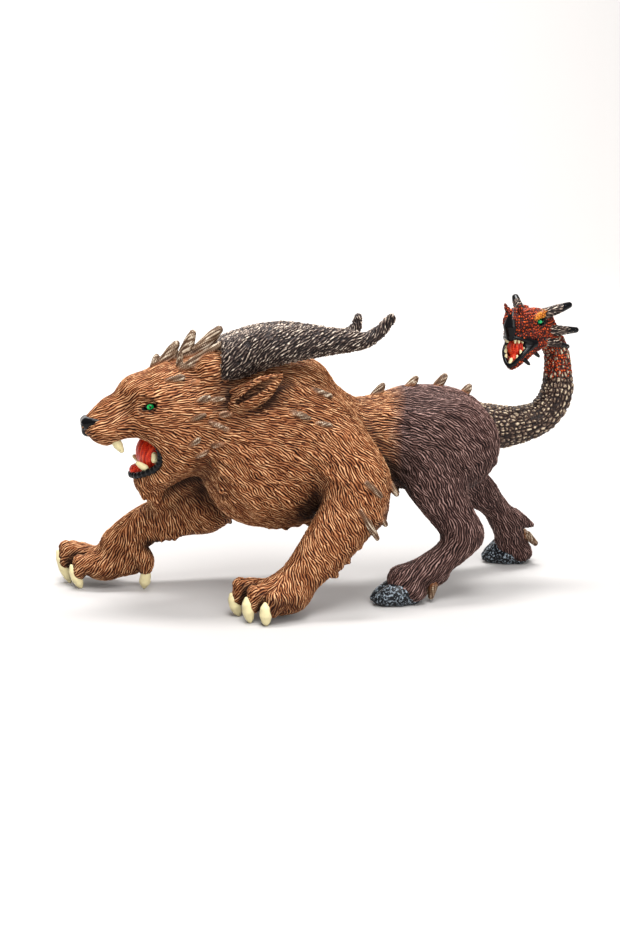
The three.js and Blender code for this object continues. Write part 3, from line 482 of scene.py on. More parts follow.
def forelegs(body):
    """The near foreleg stands back under the shoulder, the far one strides out ahead."""
    body.add(ball([-5, -12.5, 57.5], [14, 9.5, 17.5]), 4)
    body.add(limb([[1, -15, 56, 11.5], [7, -18.5, 44.5, 12], [7, -20, 37.4, 11]],
                  ([0, 1, 0], 0.85)), 2.5)
    body.add(limb([[5.8, -20.5, 36, 10.2], [0.6, -21.8, 29.4, 9.6], [-5, -22.8, 22.5, 8.5],
                   [-11, -23.8, 16, 7.2], [-15, -24, 12, 6.6]], ([0, 1, 0], 0.85)), 3)
    body.add(ball([-13, 12.5, 58], [16, 9.5, 18]), 5)
    body.add(limb([[-42, 12, 44, 7], [-49, 14, 38.6, 4.4], [-56.6, 16, 32.6, 3.6]]), 3)
    body.add(limb([[-14, 14, 54, 12], [-26, 17, 42, 11.8], [-40, 19, 29.8, 9.9]]), 5)
    body.add(limb([[-40, 19, 30.1, 9.3], [-52, 20.8, 26, 8.2], [-62.6, 23, 22, 6.7],
                   [-71, 24.5, 15.6, 6.2]]), 3)


def toe(body, claws, root, tip, knuckle, claw, lean):
    """A toe arches over its knuckle to a claw whose tip, on the ground, leans back under it."""
    ahead = unit([tip[0] - root[0], tip[1] - root[1], 0])

    def at(way, z, r):
        return [tip[0] + ahead[0] * way, tip[1] + ahead[1] * way, z, r]

    body.add(limb([root, at(-1.2, knuckle, TOE), at(0.5, knuckle * 0.66, TOE * 0.76)]), 1)
    body.add(ball(at(0.2, knuckle + 1.6, 0)[:3], [2.4] * 3), 0.8)
    leaf = [at(3.1 - lean * down, claw * (1.06 - down), CLAW * share)
            for down, share in ((0, 0.3), (0.26, 0.84), (0.55, 1), (0.8, 0.74), (1, 0.3))]
    claws.add(limb(leaf), 0.3)


def thumb(body, claws, root, knuckle, tip):
    x, y, z, r = knuckle
    body.add(limb([root, knuckle, [x, y, z * 0.7, r * 0.75]]), 1.6)
    claws.add(limb([[x, y, z * 0.5, CLAW * 0.9], [(x + tip[0]) / 2, (y + tip[1]) / 2, z * 0.28, CLAW],
                    [tip[0], tip[1], 0.4, 0.5]]), 0.3)


def paws(body, claws):
    body.add(ball([-19.5, -24.8, 8.2], [9.5, 7.6, 7]), 3)
    toe(body, claws, [-24, -20.5, 8.5, 4], [-33.4, -20, 0], 9.6, 7.4, 2.6)
    toe(body, claws, [-21, -25, 8, 4.4], [-29.8, -27.6, 0], 8.8, 8.2, 1.4)
    toe(body, claws, [-16, -28, 7.5, 4.2], [-24.2, -31.2, 0], 7.4, 7.2, 0.4)
    thumb(body, claws, [-16, -20, 9, 3.6], [-20, -17, 6, 2.6], [-21.5, -16.4, 0])
    body.add(ball([-75.5, 26, 8.6], [8.5, 8.4, 6.4]), 3)
    body.add(ball([-67.5, 22.5, 9.4], [6.6, 5, 5]), 3)
    toe(body, claws, [-77, 23, 8, 4], [-84.6, 23.9, 0], 8.6, 8, 3.2)
    toe(body, claws, [-79, 29, 9.5, 4.2], [-89, 31.5, 0], 12.1, 11.4, 4)
    toe(body, claws, [-78, 33, 8.5, 4], [-86.2, 37.8, 0], 10.4, 9.4, 3.4)
    thumb(body, claws, [-66, 21, 15.5, 4.4], [-61.6, 18.2, 10.8, 3.2], [-62.3, 18.6, 0])


def hindlegs(body, hooves, dewclaws):
    body.add(ball([43, -9.5, 53.5], [18, 9.5, 16.5]), 4)
    body.add(limb([[37, -11, 44, 11.5], [38.8, -13.5, 37.8, 9.4], [41.8, -15, 31.8, 7.8],
                   [45.2, -16, 26.2, 7]], ([0, 1, 0], 0.85)), 3)
    body.add(limb([[47.4, -16, 22.8, 6.4], [40.4, -16.5, 16, 5.2], [31.6, -16.5, 10.6, 5.2],
                   [25, -16.5, 8.4, 5.2]]), 2.5)
    hoof(body, hooves, [25.4, -16.4, 6], [14, -17.2], 1)
    body.add(limb([[38, -16.5, 9.5, 3.4], [35.4, -16.4, 7, 2.6]]), 1.5)
    dewclaw(dewclaws, [35.2, -16.2, 6.2], [34.2, -16, 2.2])
    body.add(ball([43, 9.5, 53], [18, 9.5, 16.5]), 4)
    body.add(limb([[44, 12, 46, 11.5], [51, 13.5, 39.6, 9.5], [58.4, 15, 34.6, 7.2],
                   [64, 16.5, 29.8, 5.8]]), 4)
    body.add(limb([[64, 16.5, 29.8, 5.5], [70.4, 19, 23.2, 4.9], [77, 22, 13, 5.6],
                   [78.4, 24, 8.6, 5.8]]), 2.5)
    body.add(limb([[77, 19, 19, 4], [81.4, 18.8, 17.4, 2.4], [85.2, 18.4, 15.8, 0.8]]), 1.5)
    hoof(body, hooves, [80.4, 25.2, 6.2], [71.8, 27.8], 1.35)
    dewclaw(dewclaws, [84, 23, 11.4], [87.2, 23, 8.2])


def hoof(body, hooves, heel, point, tall):
    """A cloven hoof: two toes side by side, tall in front, with fur down to the ground behind."""
    ahead = unit([point[0] - heel[0], point[1] - heel[1], 0])
    aside = [-ahead[1], ahead[0], 0]

    def at(way, off, z, *r):
        return [*moved(moved(heel, ahead, way), aside, off)[:2], z, *r]

    for s in SIDES:
        sole = [at(-2, s * 2.2, 3, 3.4), at(3, s * 2.4, 3.6, 4.2), at(8, s * 2, 2.8, 3),
                at(11, s * 1.7, 2, 1.3)]
        hooves.add(limb(sole), 0.4)
        hooves.add(limb([at(2, s * 2.2, 5.6 * tall, 3.1), at(5, s * 2, 5 * tall, 2.8),
                         at(9, s * 1.8, 2.7 * tall, 1.9)]), 1)
        body.add(ball(at(-2.4, s * 2.4, 4.2), [4.6, 4.6, 3.4]), 2)
    body.add(limb([[*heel, 5.2], at(2, 0, heel[2] * 1.4, 3.9)]), 2.5)
    hooves.carve(limb([at(4, 0, 7.4, 0.5), at(8, 0, 5.6, 0.5), at(12.5, 0, 2, 0.8)]), 0.6)


def dewclaw(clay, root, tip):
    for s in SIDES:
        clay.add(limb([[root[0], root[1] + s * 2.2, root[2], 1.7],
                       [tip[0], tip[1] + s * 2.8, tip[2], 1.1]]), 0.4)


HORNS = {
    LEFT: [[-37, -10, 85.8, 7], [-30, -10.4, 88, 7.4], [-22, -12, 90.6, 7], [-12, -13, 91.6, 5.9],
           [4, -13, 92, 4], [11.5, -13, 92, 2.7], [17, -13, 95.5, 2.1], [20.2, -13, 99.2, 1.6]],
    RIGHT: [[-37, 9.6, 83.8, 6.6], [-30, 10.2, 86.2, 7], [-22, 11.2, 88.6, 6.8], [-12, 12, 90.4, 5.9],
            [4, 13, 89.8, 3.9], [10.3, 13, 90.2, 2.6], [14.3, 13, 93.2, 2], [15.2, 13, 96.8, 1.5]],
}


def horns(clay):
    for side in SIDES:
        clay.add(limb(HORNS[side]), 1)
    clay.carve(ball([-57, 0, 88], [20.6, 40, 40]), 0.6)


def horn_roots(body):
    for side in SIDES:
        body.add(ball(mirror(side, [-39.6, 8.2, 82]), [6.4, 6.4, 7.4]), 3)


def spike(clay, root, tip, breadth):
    """A blunt spike, thick in the middle, sunk a little at its root."""
    way = [t - r for r, t in zip(root, tip)]
    half = breadth / 2
    knots = [[*moved(root, way, t), half * share]
             for t, share in ((-0.3, 1), (0.25, 1), (0.7, 0.84), (0.93, 0.58))]
    clay.add(limb(knots), 0.5)


def crest(clay):
    """The spikes over the forehead, largest at the back, and smaller ones down both sides."""
    spike(clay, [-59, 0, 82], [-57.6, 0, 87.2], CREST * 0.8)
    spike(clay, [-56.4, 0, 83], [-50.7, 0, 91.4], CREST * 1.1)
    spike(clay, [-49.6, 0, 84.5], [-45.2, 0, 95], CREST * 1.1)
    spike(clay, [-45.6, 0, 86.2], [-35.8, 0, 96], CREST * 1.25)
    for side in SIDES:
        for root, tip, share in (([-51, 6.4, 83.6], [-50.6, 6.8, 89.2], 0.6),
                                 ([-49, 7.4, 83.8], [-36.4, 10.2, 92.4], 0.8),
                                 ([-46, 11, 79], [-35.2, 13.6, 80.2], 0.7)):
            spike(clay, mirror(side, root), mirror(side, tip), CREST * share)


# Flat spikes in the fur, as x, z, length, rise: side places on the head, mane and shoulder.
STUDS = [
    [-54.2, 80, 4.8, 0.3], [-46.2, 84.2, 4.6, -0.9], [-45.3, 73.6, 3.6, 0.4], [-40.7, 73.7, 3.8, 0.1],
    [-47.6, 67.6, 4.4, 0.4], [-37.8, 69, 3.4, 0.2], [-40.8, 65.9, 5.6, -0.4], [-48.4, 59.4, 3.2, 0.6],
    [-40, 58.8, 3.6, 0.2], [-45.6, 55.4, 3.4, 0.5], [-6.2, 75.4, 5.6, -0.3], [-14.4, 69, 5.4, -0.3],
    [-6, 65.3, 4, -0.1],
]
ELBOW_STUDS = [[9.5, 44.9, 5.7, -0.6], [7.4, 34.6, 9.5, -1]]


def studs(body, clay):
    body.lay()
    for side in SIDES:
        outs = body.side_of(np.array(STUDS)[:, :2], side)
        for (x, z, length, rise), out in zip(STUDS, outs):
            root = [x, side * (out - 0.4), z]
            spike(clay, root, moved(root, unit([1, side * 0.4, rise]), length), STUD)
    outs = body.side_of(np.array(ELBOW_STUDS)[:, :2], LEFT)
    for (x, z, length, rise), out in zip(ELBOW_STUDS, outs):
        root = [x, 0.3 - out, z]
        spike(clay, root, moved(root, unit([0.6, 0, rise]), length), STUD)


def spines(clay):
    """The row of spikes down the goat's back, and those behind the elbows."""
    for x, z, length in ([17.8, 70.6, 5.6], [29.7, 72.6, 5.8], [40.2, 73, 6], [50, 69.8, 4.8]):
        spike(clay, [x, 0, z - 0.6], [x + length * 0.62, 0, z + length * 0.72], STUD * 1.35)
    for side, elbow in ((LEFT, [11, -25, 40.5]), (RIGHT, [-31, 24, 34])):
        for x, out, down, length in ([5, -4, -5.6, 8], [1, 1, 5, 6], [-2, -3, 8, 5]):
            root = moved(elbow, [x, side * out, -down], 1)
            spike(clay, root, moved(root, unit([0.7, side * 0.2, -0.9]), length), STUD * 1.2)


def tufts(body, start, end, count, way, length):
    """Tufts in a row from one place to another, hanging one way, long and short by turns."""
    for i in range(count):
        root = [a + (b - a) * i / max(count - 1, 1) for a, b in zip(start, end)]
        size = length * (0.7 if i % 2 else 1)
        lean = unit([way[0], way[1] + 0.25 * (i % 3 - 1), way[2]])
        knots = [[*moved(root, lean, size * part), r]
                 for part, r in ((-0.5, TUFT), (0.25, TUFT), (0.7, TUFT * 0.8), (1, TUFT * 0.45))]
        body.add(limb(knots), 1.4)


def fringes(body):
    tufts(body, [13, -22, 34.4], [-3.6, -25, 15.4], 9, [0.8, -0.1, -0.6], 3.4)
    tufts(body, [13.4, -18, 35], [-1, -20.5, 18], 6, [0.8, 0.1, -0.6], 3)
    tufts(body, [-32, 22, 25.6], [-60, 20.5, 19.2], 9, [0.15, -0.1, -1], 3.2)
    tufts(body, [-34, 15, 27], [-56, 17, 20], 6, [0.15, 0, -1], 3)
    for side in SIDES:
        tufts(body, [-34.5, side * 6, 34.4], [-18.6, side * 5, 28.4], 6, [0.45, side * 0.1, -1], 3.2)
        tufts(body, [-15.6, side * 5, 28.6], [-7, side * 4, 29], 3, [0.45, side * 0.1, -1], 3)
        tufts(body, [-37.6, side * 12, 44], [-34, side * 8, 36], 3, [-0.4, side * 0.3, -1], 3)
    tufts(body, [24, -5, 38.6], [12, -4, 38], 3, [0.5, 0, -1], 2.6)
    for side in SIDES:
        tufts(body, [-63, side * 2.6, 41], [-59, side * 2, 38.5], 3, [-0.2, side * 0.2, -1], 2.6)


def locks(body, xs, zs, apart, length):
    """Locks of the mane and the coat, in staggered rows where each side faces outwards."""
    body.lay()
    found = []
    for side in SIDES:
        for row, z in enumerate(np.arange(zs[0], zs[1] + 0.01, apart)):
            lie = unit([1, 0, -max(0, (78 - z) / 38)])  # hair falls more steeply lower down
            starts = np.arange(xs[0] + (row % 2) * length * 0.5, xs[1] + 0.01, length)
            parts = np.array([0, 0.4, 0.75, 1]) * length
            runs = np.stack([starts[:, None] + lie[0] * parts,
                             np.broadcast_to(z + lie[2] * parts, (len(starts), 4))], -1)
            outs = body.side_of(runs.reshape(-1, 2), side).reshape(-1, 4)
            steep = np.abs(np.diff(outs, axis=1)).max(1)
            held = (outs.min(1) > 6) & (steep < length * 0.35)  # neither on the crest nor at an edge
            radii = np.array([0.6, 1, 0.8, 0.3]) * LOCK
            for run, out in zip(runs[held], outs[held]):
                found.append(np.stack([run[:, 0], side * (out + 0.55 - radii), run[:, 1], radii], 1))
    for knots in found:
        body.add(limb(knots), 1)


TAIL = [[56, 0, 58, 9], [70, 0, 58.2, 6.8], [78.7, 0, 60.5, 6.1], [83.6, 0, 65.2, 5.9],
        [85.8, 0, 70.9, 5.7], [85.8, 0, 77, 5], [84.8, 0, 84.8, 4.3], [81, -0.4, 91, 4.5]]

# The snake's head is turned towards the creature's left. Its masses are placed by how far they
# lie ahead of the middle of the skull, out to one side of it, and above it.
SNAKE = [75.4, -1.5, 94.8]
SNAKE_AHEAD = unit([-0.79, -0.62, 0])
SNAKE_ASIDE = np.array([SNAKE_AHEAD[1], -SNAKE_AHEAD[0], 0])
SNAKE_AXES = [SNAKE_AHEAD, SNAKE_ASIDE, [0, 0, 1]]
SNAKE_EYE = [3.8, 4.9, 1.4]


def on_snake(knot):
    ahead, aside, above = knot[:3]
    level = moved(moved(SNAKE, SNAKE_AHEAD, ahead), SNAKE_ASIDE, aside)
    return [*moved(level, [0, 0, 1], above), *knot[3:]]


def on_side(side, knots):
    return [on_snake([k[0], side * k[1], *k[2:]]) for k in knots]


def snake_eye(side):
    return on_side(side, [SNAKE_EYE])[0]


def snake_head(clay):
    clay.add(limb(TAIL[-3:]), 2)
    clay.add(ball(on_snake([-1, 0, 0.2]), [8, 6.4, 5], SNAKE_AXES), 2)
    snout = [[0, 0, 0.4, 5], [6, 0, 1.4, 4.6], [11.4, 0, 1.8, 4.2]]
    clay.add(limb([on_snake(k) for k in snout], (SNAKE_ASIDE, 1.15)), 1.5)
    clay.add(ball(on_snake([13, 0, 1.2]), [2.8, 3.6, 5.4], SNAKE_AXES), 1)
    for side in SIDES:
        clay.add(ball(on_snake([0.5, side * 4.2, -2.6]), [6, 3, 3.8], SNAKE_AXES), 1.5)
        clay.add(limb(on_side(side, SNAKE_BROW)), 0.8)
        for bone in (SNAKE_LIP[:4], SNAKE_LIP[3:]):
            clay.add(limb(on_side(side, [[k[0] - 1, k[1] * 0.9, k[2], 1.2] for k in bone])), 1)
        clay.add(limb(on_side(side, [[-1, 4.6, -4.6, 2.6], [6, 4.4, -7, 2.2], [9.4, 4, -8.4, 1.6]])), 1)
        clay.add(limb(on_side(side, [[3, 4.4, -2.4, 2.4], [8, 3.8, -3, 2.2], [11.4, 3, -2.6, 1.8]])), 1)
        clay.add(limb(on_side(side, [[13, 2.4, 5.2, 1.2], [14.4, 2.9, 7.8, 0.5]])), 0.6)
        clay.carve(ball(snake_eye(side), [1.7, 1.5, 1]), 0.8)
    clay.add(limb([on_snake(k) for k in ([0, 0, -5, 4], [7, 0, -10, 2.8], [13, 0, -13, 1.6])]), 1)
    for side in (RIGHT, LEFT):
        clay.add(limb(on_side(side, [[1, 0, -5.4, 3.6], [7.6, 2, -8.6, 2.4], [13, 1.6, -12.4, 1.4]])), 1)
    gape = [[6.4, 0, -6, 1.6], [11, 0, -7, 3], [17, 0, -8.2, 4.3]]
    clay.carve(limb([on_snake(k) for k in gape]), 0.8)


SNAKE_BROW = [[-3, 5.4, 4.8, 1.4], [1, 5.6, 4.6, 1.5], [5, 5.2, 3.4, 1.2], [8.6, 4.4, 2.2, 0.7]]
SNAKE_LIP = [[15.4, 0.4, -3.8, 0.7], [14.8, 1.8, -3.5, 0.7], [13, 3.4, -3.8, 0.8], [7.4, 5, -5.8, 1.5],
             [11.6, 4.2, -8.4, 1], [13.6, 3, -10.6, 0.8], [14.6, 1.4, -12.6, 0.8],
             [14.8, 0.2, -13.4, 0.8]]
SNAKE_HORNS = [[[1.6, 5.2, 4, 2], [-3, 7.8, 5.4, 1.7], [-7, 10, 6.7, 1]],
               [[-1.4, 5.6, -1.9, 2.1], [-6.5, 8.2, -2.3, 1.6], [-12, 10.3, -2.5, 0.9]],
               [[1.8, 5.2, -5.1, 1.9], [-4, 7.2, -6.8, 1.5], [-9.4, 8.6, -8.3, 0.7]]]
FAR_HORN = [[1.5, 4.6, 4.4, 1.9], [0.8, 6.4, 6.8, 1.6], [-0.4, 8, 8.8, 1.1]]  # stands more upright


def snake_mouth(clay):
    clay.add(limb([on_snake(k) for k in ([5, 0, -5.6, 2.4], [9.4, 0, -7.6, 4])]), 0.3)
    clay.add(limb([on_snake(k) for k in ([8, 0, -8.6, 2.6], [12.4, 0, -11.4, 1.6])]), 0.6)


def snake_muzzle(clay):
    """The black patch down the front of the snout, and the lips."""
    patch = [[13.4, 0, 6.2, 0.4], [14.4, 0, 4.4, 0.9], [15.1, 0, 2, 1.4], [15.4, 0, 0.2, 1.7],
             [15.2, 0, -2.2, 1.3], [15, 0, -4.2, 0.7]]
    clay.add(limb([on_snake(k) for k in patch], (SNAKE_ASIDE, 1.5)), 0.4)
    for side in SIDES:
        clay.add(limb(on_side(side, SNAKE_LIP[:4])), 0.5)
        clay.add(limb(on_side(side, SNAKE_LIP[3:])), 0.5)
        clay.add(ball(on_side(side, [[15.8, 0.9, 0.2]])[0], [0.8] * 3), 0.4)
        clay.add(limb(on_side(side, [[8.6, 4.2, -6, 1.6], [11, 3.7, -6.4, 1]])), 0.5)


def snake_eyes(clay):
    for side in SIDES:
        clay.add(ball(snake_eye(side), [1.3, 1.2, 0.75]), 0.3)


def snake_horns(clay, tips):
    for side in SIDES:
        for knots in (FAR_HORN if side == RIGHT else SNAKE_HORNS[0], *SNAKE_HORNS[1:]):
            clay.add(limb(on_side(side, knots)), 0.4)
            half = [0.65 * a + 0.35 * b for a, b in zip(knots[1], knots[2])]
            tip = [*knots[2][:3], knots[2][3] + 0.15]
            tips.add(limb(on_side(side, [[*half[:3], half[3] + 0.1], tip])), 0.2)
        spike(tips, *on_side(side, [[6.4, 4.8, -9.2], [4.6, 5.6, -10.8]]), 1.5)
        spike(tips, *on_side(side, [[11, 3.8, -11.6], [9.2, 4.6, -13.2]]), 1.5)


def snake_teeth(clay):
    for side in SIDES:
        for ahead, aside, above in ([11.4, 3.8, -7.6], [12.8, 3.2, -9.2], [13.8, 2.4, -11]):
            clay.add(limb(on_side(side, [[ahead, aside, above, 0.6],
                                         [ahead, aside * 0.92, above + 1.2, 0.4]])), 0.2)
        for ahead, aside in ([12.2, 3.3], [13.4, 2.5], [14.2, 1.5]):
            clay.add(limb(on_side(side, [[ahead, aside, -4.1, 0.6], [ahead, aside, -5.2, 0.4]])), 0.2)
    clay.add(limb([on_snake(k) for k in ([14.2, 0, -12.6, 0.9], [14, 0, -11.2, 0.6])]), 0.2)


# How the hair lies: a place, then the way the hair runs there. The places of the head and trunk
# hold for both sides; those of the legs are each leg's own.
LIE_OF_BODY = [
    [-80, 3, 65, 0.8, 0.2, 0.35], [-72, 5, 70, 0.85, 0.15, 0.5], [-74, 8, 62, 0.9, 0.3, -0.1],
    [-66, 9, 60, 0.9, 0.2, -0.3], [-66, 3, 79, 0.75, 0.1, 0.65], [-55, 4, 85, 0.85, 0.1, 0.5],
    [-44, 5, 89, 0.95, 0.15, 0.2], [-60, 10, 74, 0.9, 0.2, 0.25], [-60, 11, 67, 0.97, 0.2, -0.1],
    [-52, 14, 70, 0.98, 0.2, 0.05], [-58, 9, 60, 0.75, 0.2, -0.65], [-52, 12, 58, 0.8, 0.2, -0.55],
    [-62, 4, 43, 0.3, 0.1, -0.95], [-56, 6, 46, 0.55, 0.1, -0.85], [-50, 3, 48, 0.8, 0, -0.5],
    [-42, 16, 72, 0.97, 0.2, 0.1], [-42, 16, 60, 0.9, 0.2, -0.35], [-35, 16, 48, 0.6, 0.1, -0.8],
    [-35, 8, 36, 0.6, 0, -0.8], [-20, 21, 66, 0.97, 0.1, -0.1], [-20, 22, 54, 0.85, 0.1, -0.5],
    [-22, 18, 40, 0.75, 0, -0.65], [-22, 5, 28, 0.85, 0, -0.5], [0, 5, 28, 0.9, 0, -0.4],
    [-20, 8, 84, 0.95, 0.1, 0.1], [-5, 8, 82, 0.8, 0.1, -0.6], [3, 8, 74, 0.6, 0.1, -0.8],
    [2, 18, 66, 0.85, 0.05, -0.5], [15, 14, 62, 0.97, 0, -0.1], [15, 16, 52, 0.9, 0, -0.3],
    [18, 10, 42, 0.8, 0, -0.5], [30, 0, 73, 0.98, 0, 0.1], [30, 15, 60, 0.9, 0, -0.35],
    [45, 5, 73, 0.95, 0.1, -0.3], [58, 3, 64, 0.6, 0.1, -0.8], [60, 10, 52, 0.2, 0.1, -0.95],
    [45, 15, 60, 0.75, 0.1, -0.65], [40, 16, 48, 0.5, 0.05, -0.85], [30, 12, 46, 0.6, 0, -0.8],
]
LIE_OF_LEGS = [
    [3, -24, 55, 0.5, -0.1, -0.85], [8, -27, 42, 0.45, -0.05, -0.9], [2, -28, 30, 0.5, -0.05, -0.85],
    [-6, -28, 20, 0.45, 0, -0.9], [-18, -30, 10, 0.1, -0.1, -0.9], [-28, -27, 9, -0.8, -0.1, -0.5],
    [42, -22, 42, 0.4, 0, -0.9], [44, -22, 32, 0.5, 0, -0.85], [50, -20, 25, 0, 0, -1],
    [40, -20, 17, -0.5, 0, -0.85], [28, -20, 10, -0.6, 0, -0.8], [-18, 20, 50, 0.1, 0.1, -0.95],
    [-32, 22, 38, 0, 0.05, -1], [-48, 24, 28, 0.05, 0, -1], [-62, 26, 22, 0.1, 0, -0.95],
    [-70, 26, 15, -0.5, 0, -0.8], [-84, 30, 12, -0.8, 0, -0.5], [48, 18, 42, 0.45, 0.1, -0.85],
    [58, 20, 34, 0.5, 0.1, -0.85], [68, 20, 23, 0.6, 0.1, -0.8], [76, 24, 12, 0.4, 0.1, -0.9],
]
SEED = 7
WAVES = 12  # how many waves sway the strands
QUICKNESS = (0.5, 2.4)  # of the waves, in radians per millimetre
SWAY = 0.11  # how far each wave shifts the strands, in millimetres
SWIRLS = (5, 7, 9, 12)  # lengths in millimetres over which the lie of the hair wanders
SWIRL = 0.11  # and how far each turns it
BLEND = 30  # the larger, the more gently the hair turns from one way of lying to the next


def tangent(ways, normals):
    """The ways laid flat on the surface, at unit length."""
    flat = ways - (ways * normals).sum(1)[:, None] * normals
    return (flat / np.maximum(length_of(flat), 1e-3)[:, None]).astype(np.float32)


def hair(points, normals):
    """Which way the hair lies at each point: the places round it, blended."""
    table = np.float32(LIE_OF_BODY)
    flip = np.float32([1, -1, 1, 1, -1, 1])
    table = np.concatenate([table, table * flip, np.float32(LIE_OF_LEGS)])
    ways = np.empty_like(points)
    for start in range(0, len(points), CHUNK):
        some = points[start:start + CHUNK]
        gap = ((some[:, None] - table[None, :, :3]) ** 2).sum(2) + BLEND
        weight = 1 / gap ** 2
        ways[start:start + CHUNK] = weight @ table[:, 3:] / weight.sum(1)[:, None]
    chance = np.random.default_rng(SEED)
    for length in SWIRLS:
        turn, sway = unit(chance.normal(size=3)) * 2 * math.pi / length, chance.normal(size=3)
        ways += np.sin(points @ np.float32(turn))[:, None] * np.float32(sway * SWIRL)
    return tangent(ways, normals)


def waved(points):
    """The points shifted to and fro, so that straight strands drawn over them turn out wavy."""
    chance = np.random.default_rng(SEED)
    shifted = points.astype(np.float32)
    for quickness in np.linspace(*QUICKNESS, WAVES):
        turn, sway = unit(chance.normal(size=3)), unit(chance.normal(size=3))
        turns = points @ np.float32(turn * quickness) + np.float32(quickness * 9)
        shifted += np.sin(turns)[:, None] * np.float32(sway * SWAY / math.sqrt(quickness))
    return shifted


def along_curve(points, knots):
    """The way along, in-plane offset and length at the nearest place of a curve to each point."""
    line = curve(knots, 60)[:, :3]
    nearest = np.empty(len(points), int)
    for start in range(0, len(points), CHUNK):
        gap = ((points[start:start + CHUNK, None] - line[None]) ** 2).sum(2)
        nearest[start:start + CHUNK] = gap.argmin(1)
    ways = np.gradient(line, axis=0)
    ways /= length_of(ways)[:, None]
    lengths = np.concatenate([[0], np.cumsum(length_of(np.diff(line, axis=0)))])
    way = ways[nearest]
    off = points - line[nearest]
    ahead = (off * way).sum(1)
    up = np.cross(way, [0, 1, 0])
    straight = np.stack([off[:, 1], (off * up).sum(1), lengths[nearest] + ahead], 1)
    return way.astype(np.float32), straight.astype(np.float32)


# Nodes. The same few are built into a material and into the tree that measures them on the mesh.


class Nodes:
    def __init__(self, tree):
        self.tree = tree

    def add(self, kind, inputs=(), **settings):
        """A node with its settings, and its inputs by name or number: sockets or plain values."""
        node = self.tree.nodes.new(kind)
        for name, value in settings.items():
            setattr(node, name, value)
        for key, value in dict(inputs).items():
            if isinstance(value, bpy.types.NodeSocket):
                self.tree.links.new(value, node.inputs[key])
            else:
                node.inputs[key].default_value = value
        return node

    def math(self, operation, *values, clamp=False):
        return self.add("ShaderNodeMath", enumerate(values), operation=operation,
                        use_clamp=clamp).outputs[0]

    def vector(self, operation, *values):
        return self.add("ShaderNodeVectorMath", enumerate(values), operation=operation).outputs[0]

    def noise(self, place, size, detail=0):
        return self.add("ShaderNodeTexNoise", {"Vector": place, "Scale": 1 / size, "Detail": detail}
                        ).outputs[0]

    def borders(self, place, size):
        """How far a point lies from the edges of irregular cells."""
        return self.add("ShaderNodeTexVoronoi", {"Vector": place, "Scale": 1 / size, "Randomness": 0.75},
                        feature="DISTANCE_TO_EDGE").outputs[0]

    def waves(self, place, across, apart, reach):
        """Even, wavy lines along the lie of the hair, from 0 between them to 1 on their crests."""
        phase = self.add("ShaderNodeTexGabor", {"Vector": place, "Scale": 1 / reach,
                                                "Frequency": reach / apart, "Anisotropy": 1,
                                                5: across}, gabor_type="3D").outputs[1]
        turn = self.math("COSINE", self.math("MULTIPLY", phase, 2 * math.pi))
        return self.math("MULTIPLY_ADD", turn, 0.5, 0.5)

    def strands(self, place, comb, breadth, length, contrast):
        """Noise averaged along the comb, from 0 in the grooves to 1 on the strands."""
        steps = [i / (SAMPLES - 1) - 0.5 for i in range(SAMPLES)]
        weights = [math.cos(2.4 * s) for s in steps]
        total = 0.5 - 0.5 * contrast
        for s, weight in zip(steps, weights):
            at = self.vector("MULTIPLY_ADD", comb, (s * length,) * 3, place)
            share = contrast * weight / sum(weights)
            total = self.math("MULTIPLY_ADD", self.noise(at, breadth), share, total)
        return self.math("ADD", total, 0, clamp=True)


GRAIN = ("place", "comb", "across")
FUR = {"apart": 0.84, "reach": 2}
CLUMPS = {"breadth": 0.6, "length": 3, "contrast": 5}
BARK = {"apart": 0.95, "reach": 2}
STROKES = {"breadth": 0.34, "length": 1.5, "contrast": 4.4}
STREAKS = {"breadth": 0.6, "length": 4, "contrast": 7}
SAMPLES = 7  # of the noise, along each strand
MIDDLE = 0.6  # the height that stays on the traced surface
SCALES = 1.45  # size of the snake's scales
FINER = 1.55  # how many times finer they are on its head


def fur_height(nodes, place, comb, across):
    return nodes.waves(place, across, **FUR), nodes.strands(place, comb, **CLUMPS)


def bark_height(nodes, place, comb, across):
    crests = nodes.waves(place, across, **BARK)
    strokes = nodes.strands(place, comb, **STROKES)
    return nodes.math("MULTIPLY_ADD", strokes, 0.45, nodes.math("MULTIPLY", crests, 0.55)), strokes


def streak_height(nodes, place, comb, across):
    return nodes.strands(place, comb, **STREAKS), nodes.noise(place, 1.5)


def scale_height(nodes, place, comb, across):
    """Rounded scales between dark grooves, crossed by fine strokes."""
    groove = nodes.math("MULTIPLY_ADD", nodes.borders(place, SCALES), 4.5, -0.25, clamp=True)
    return groove, nodes.strands(place, comb, **STREAKS)


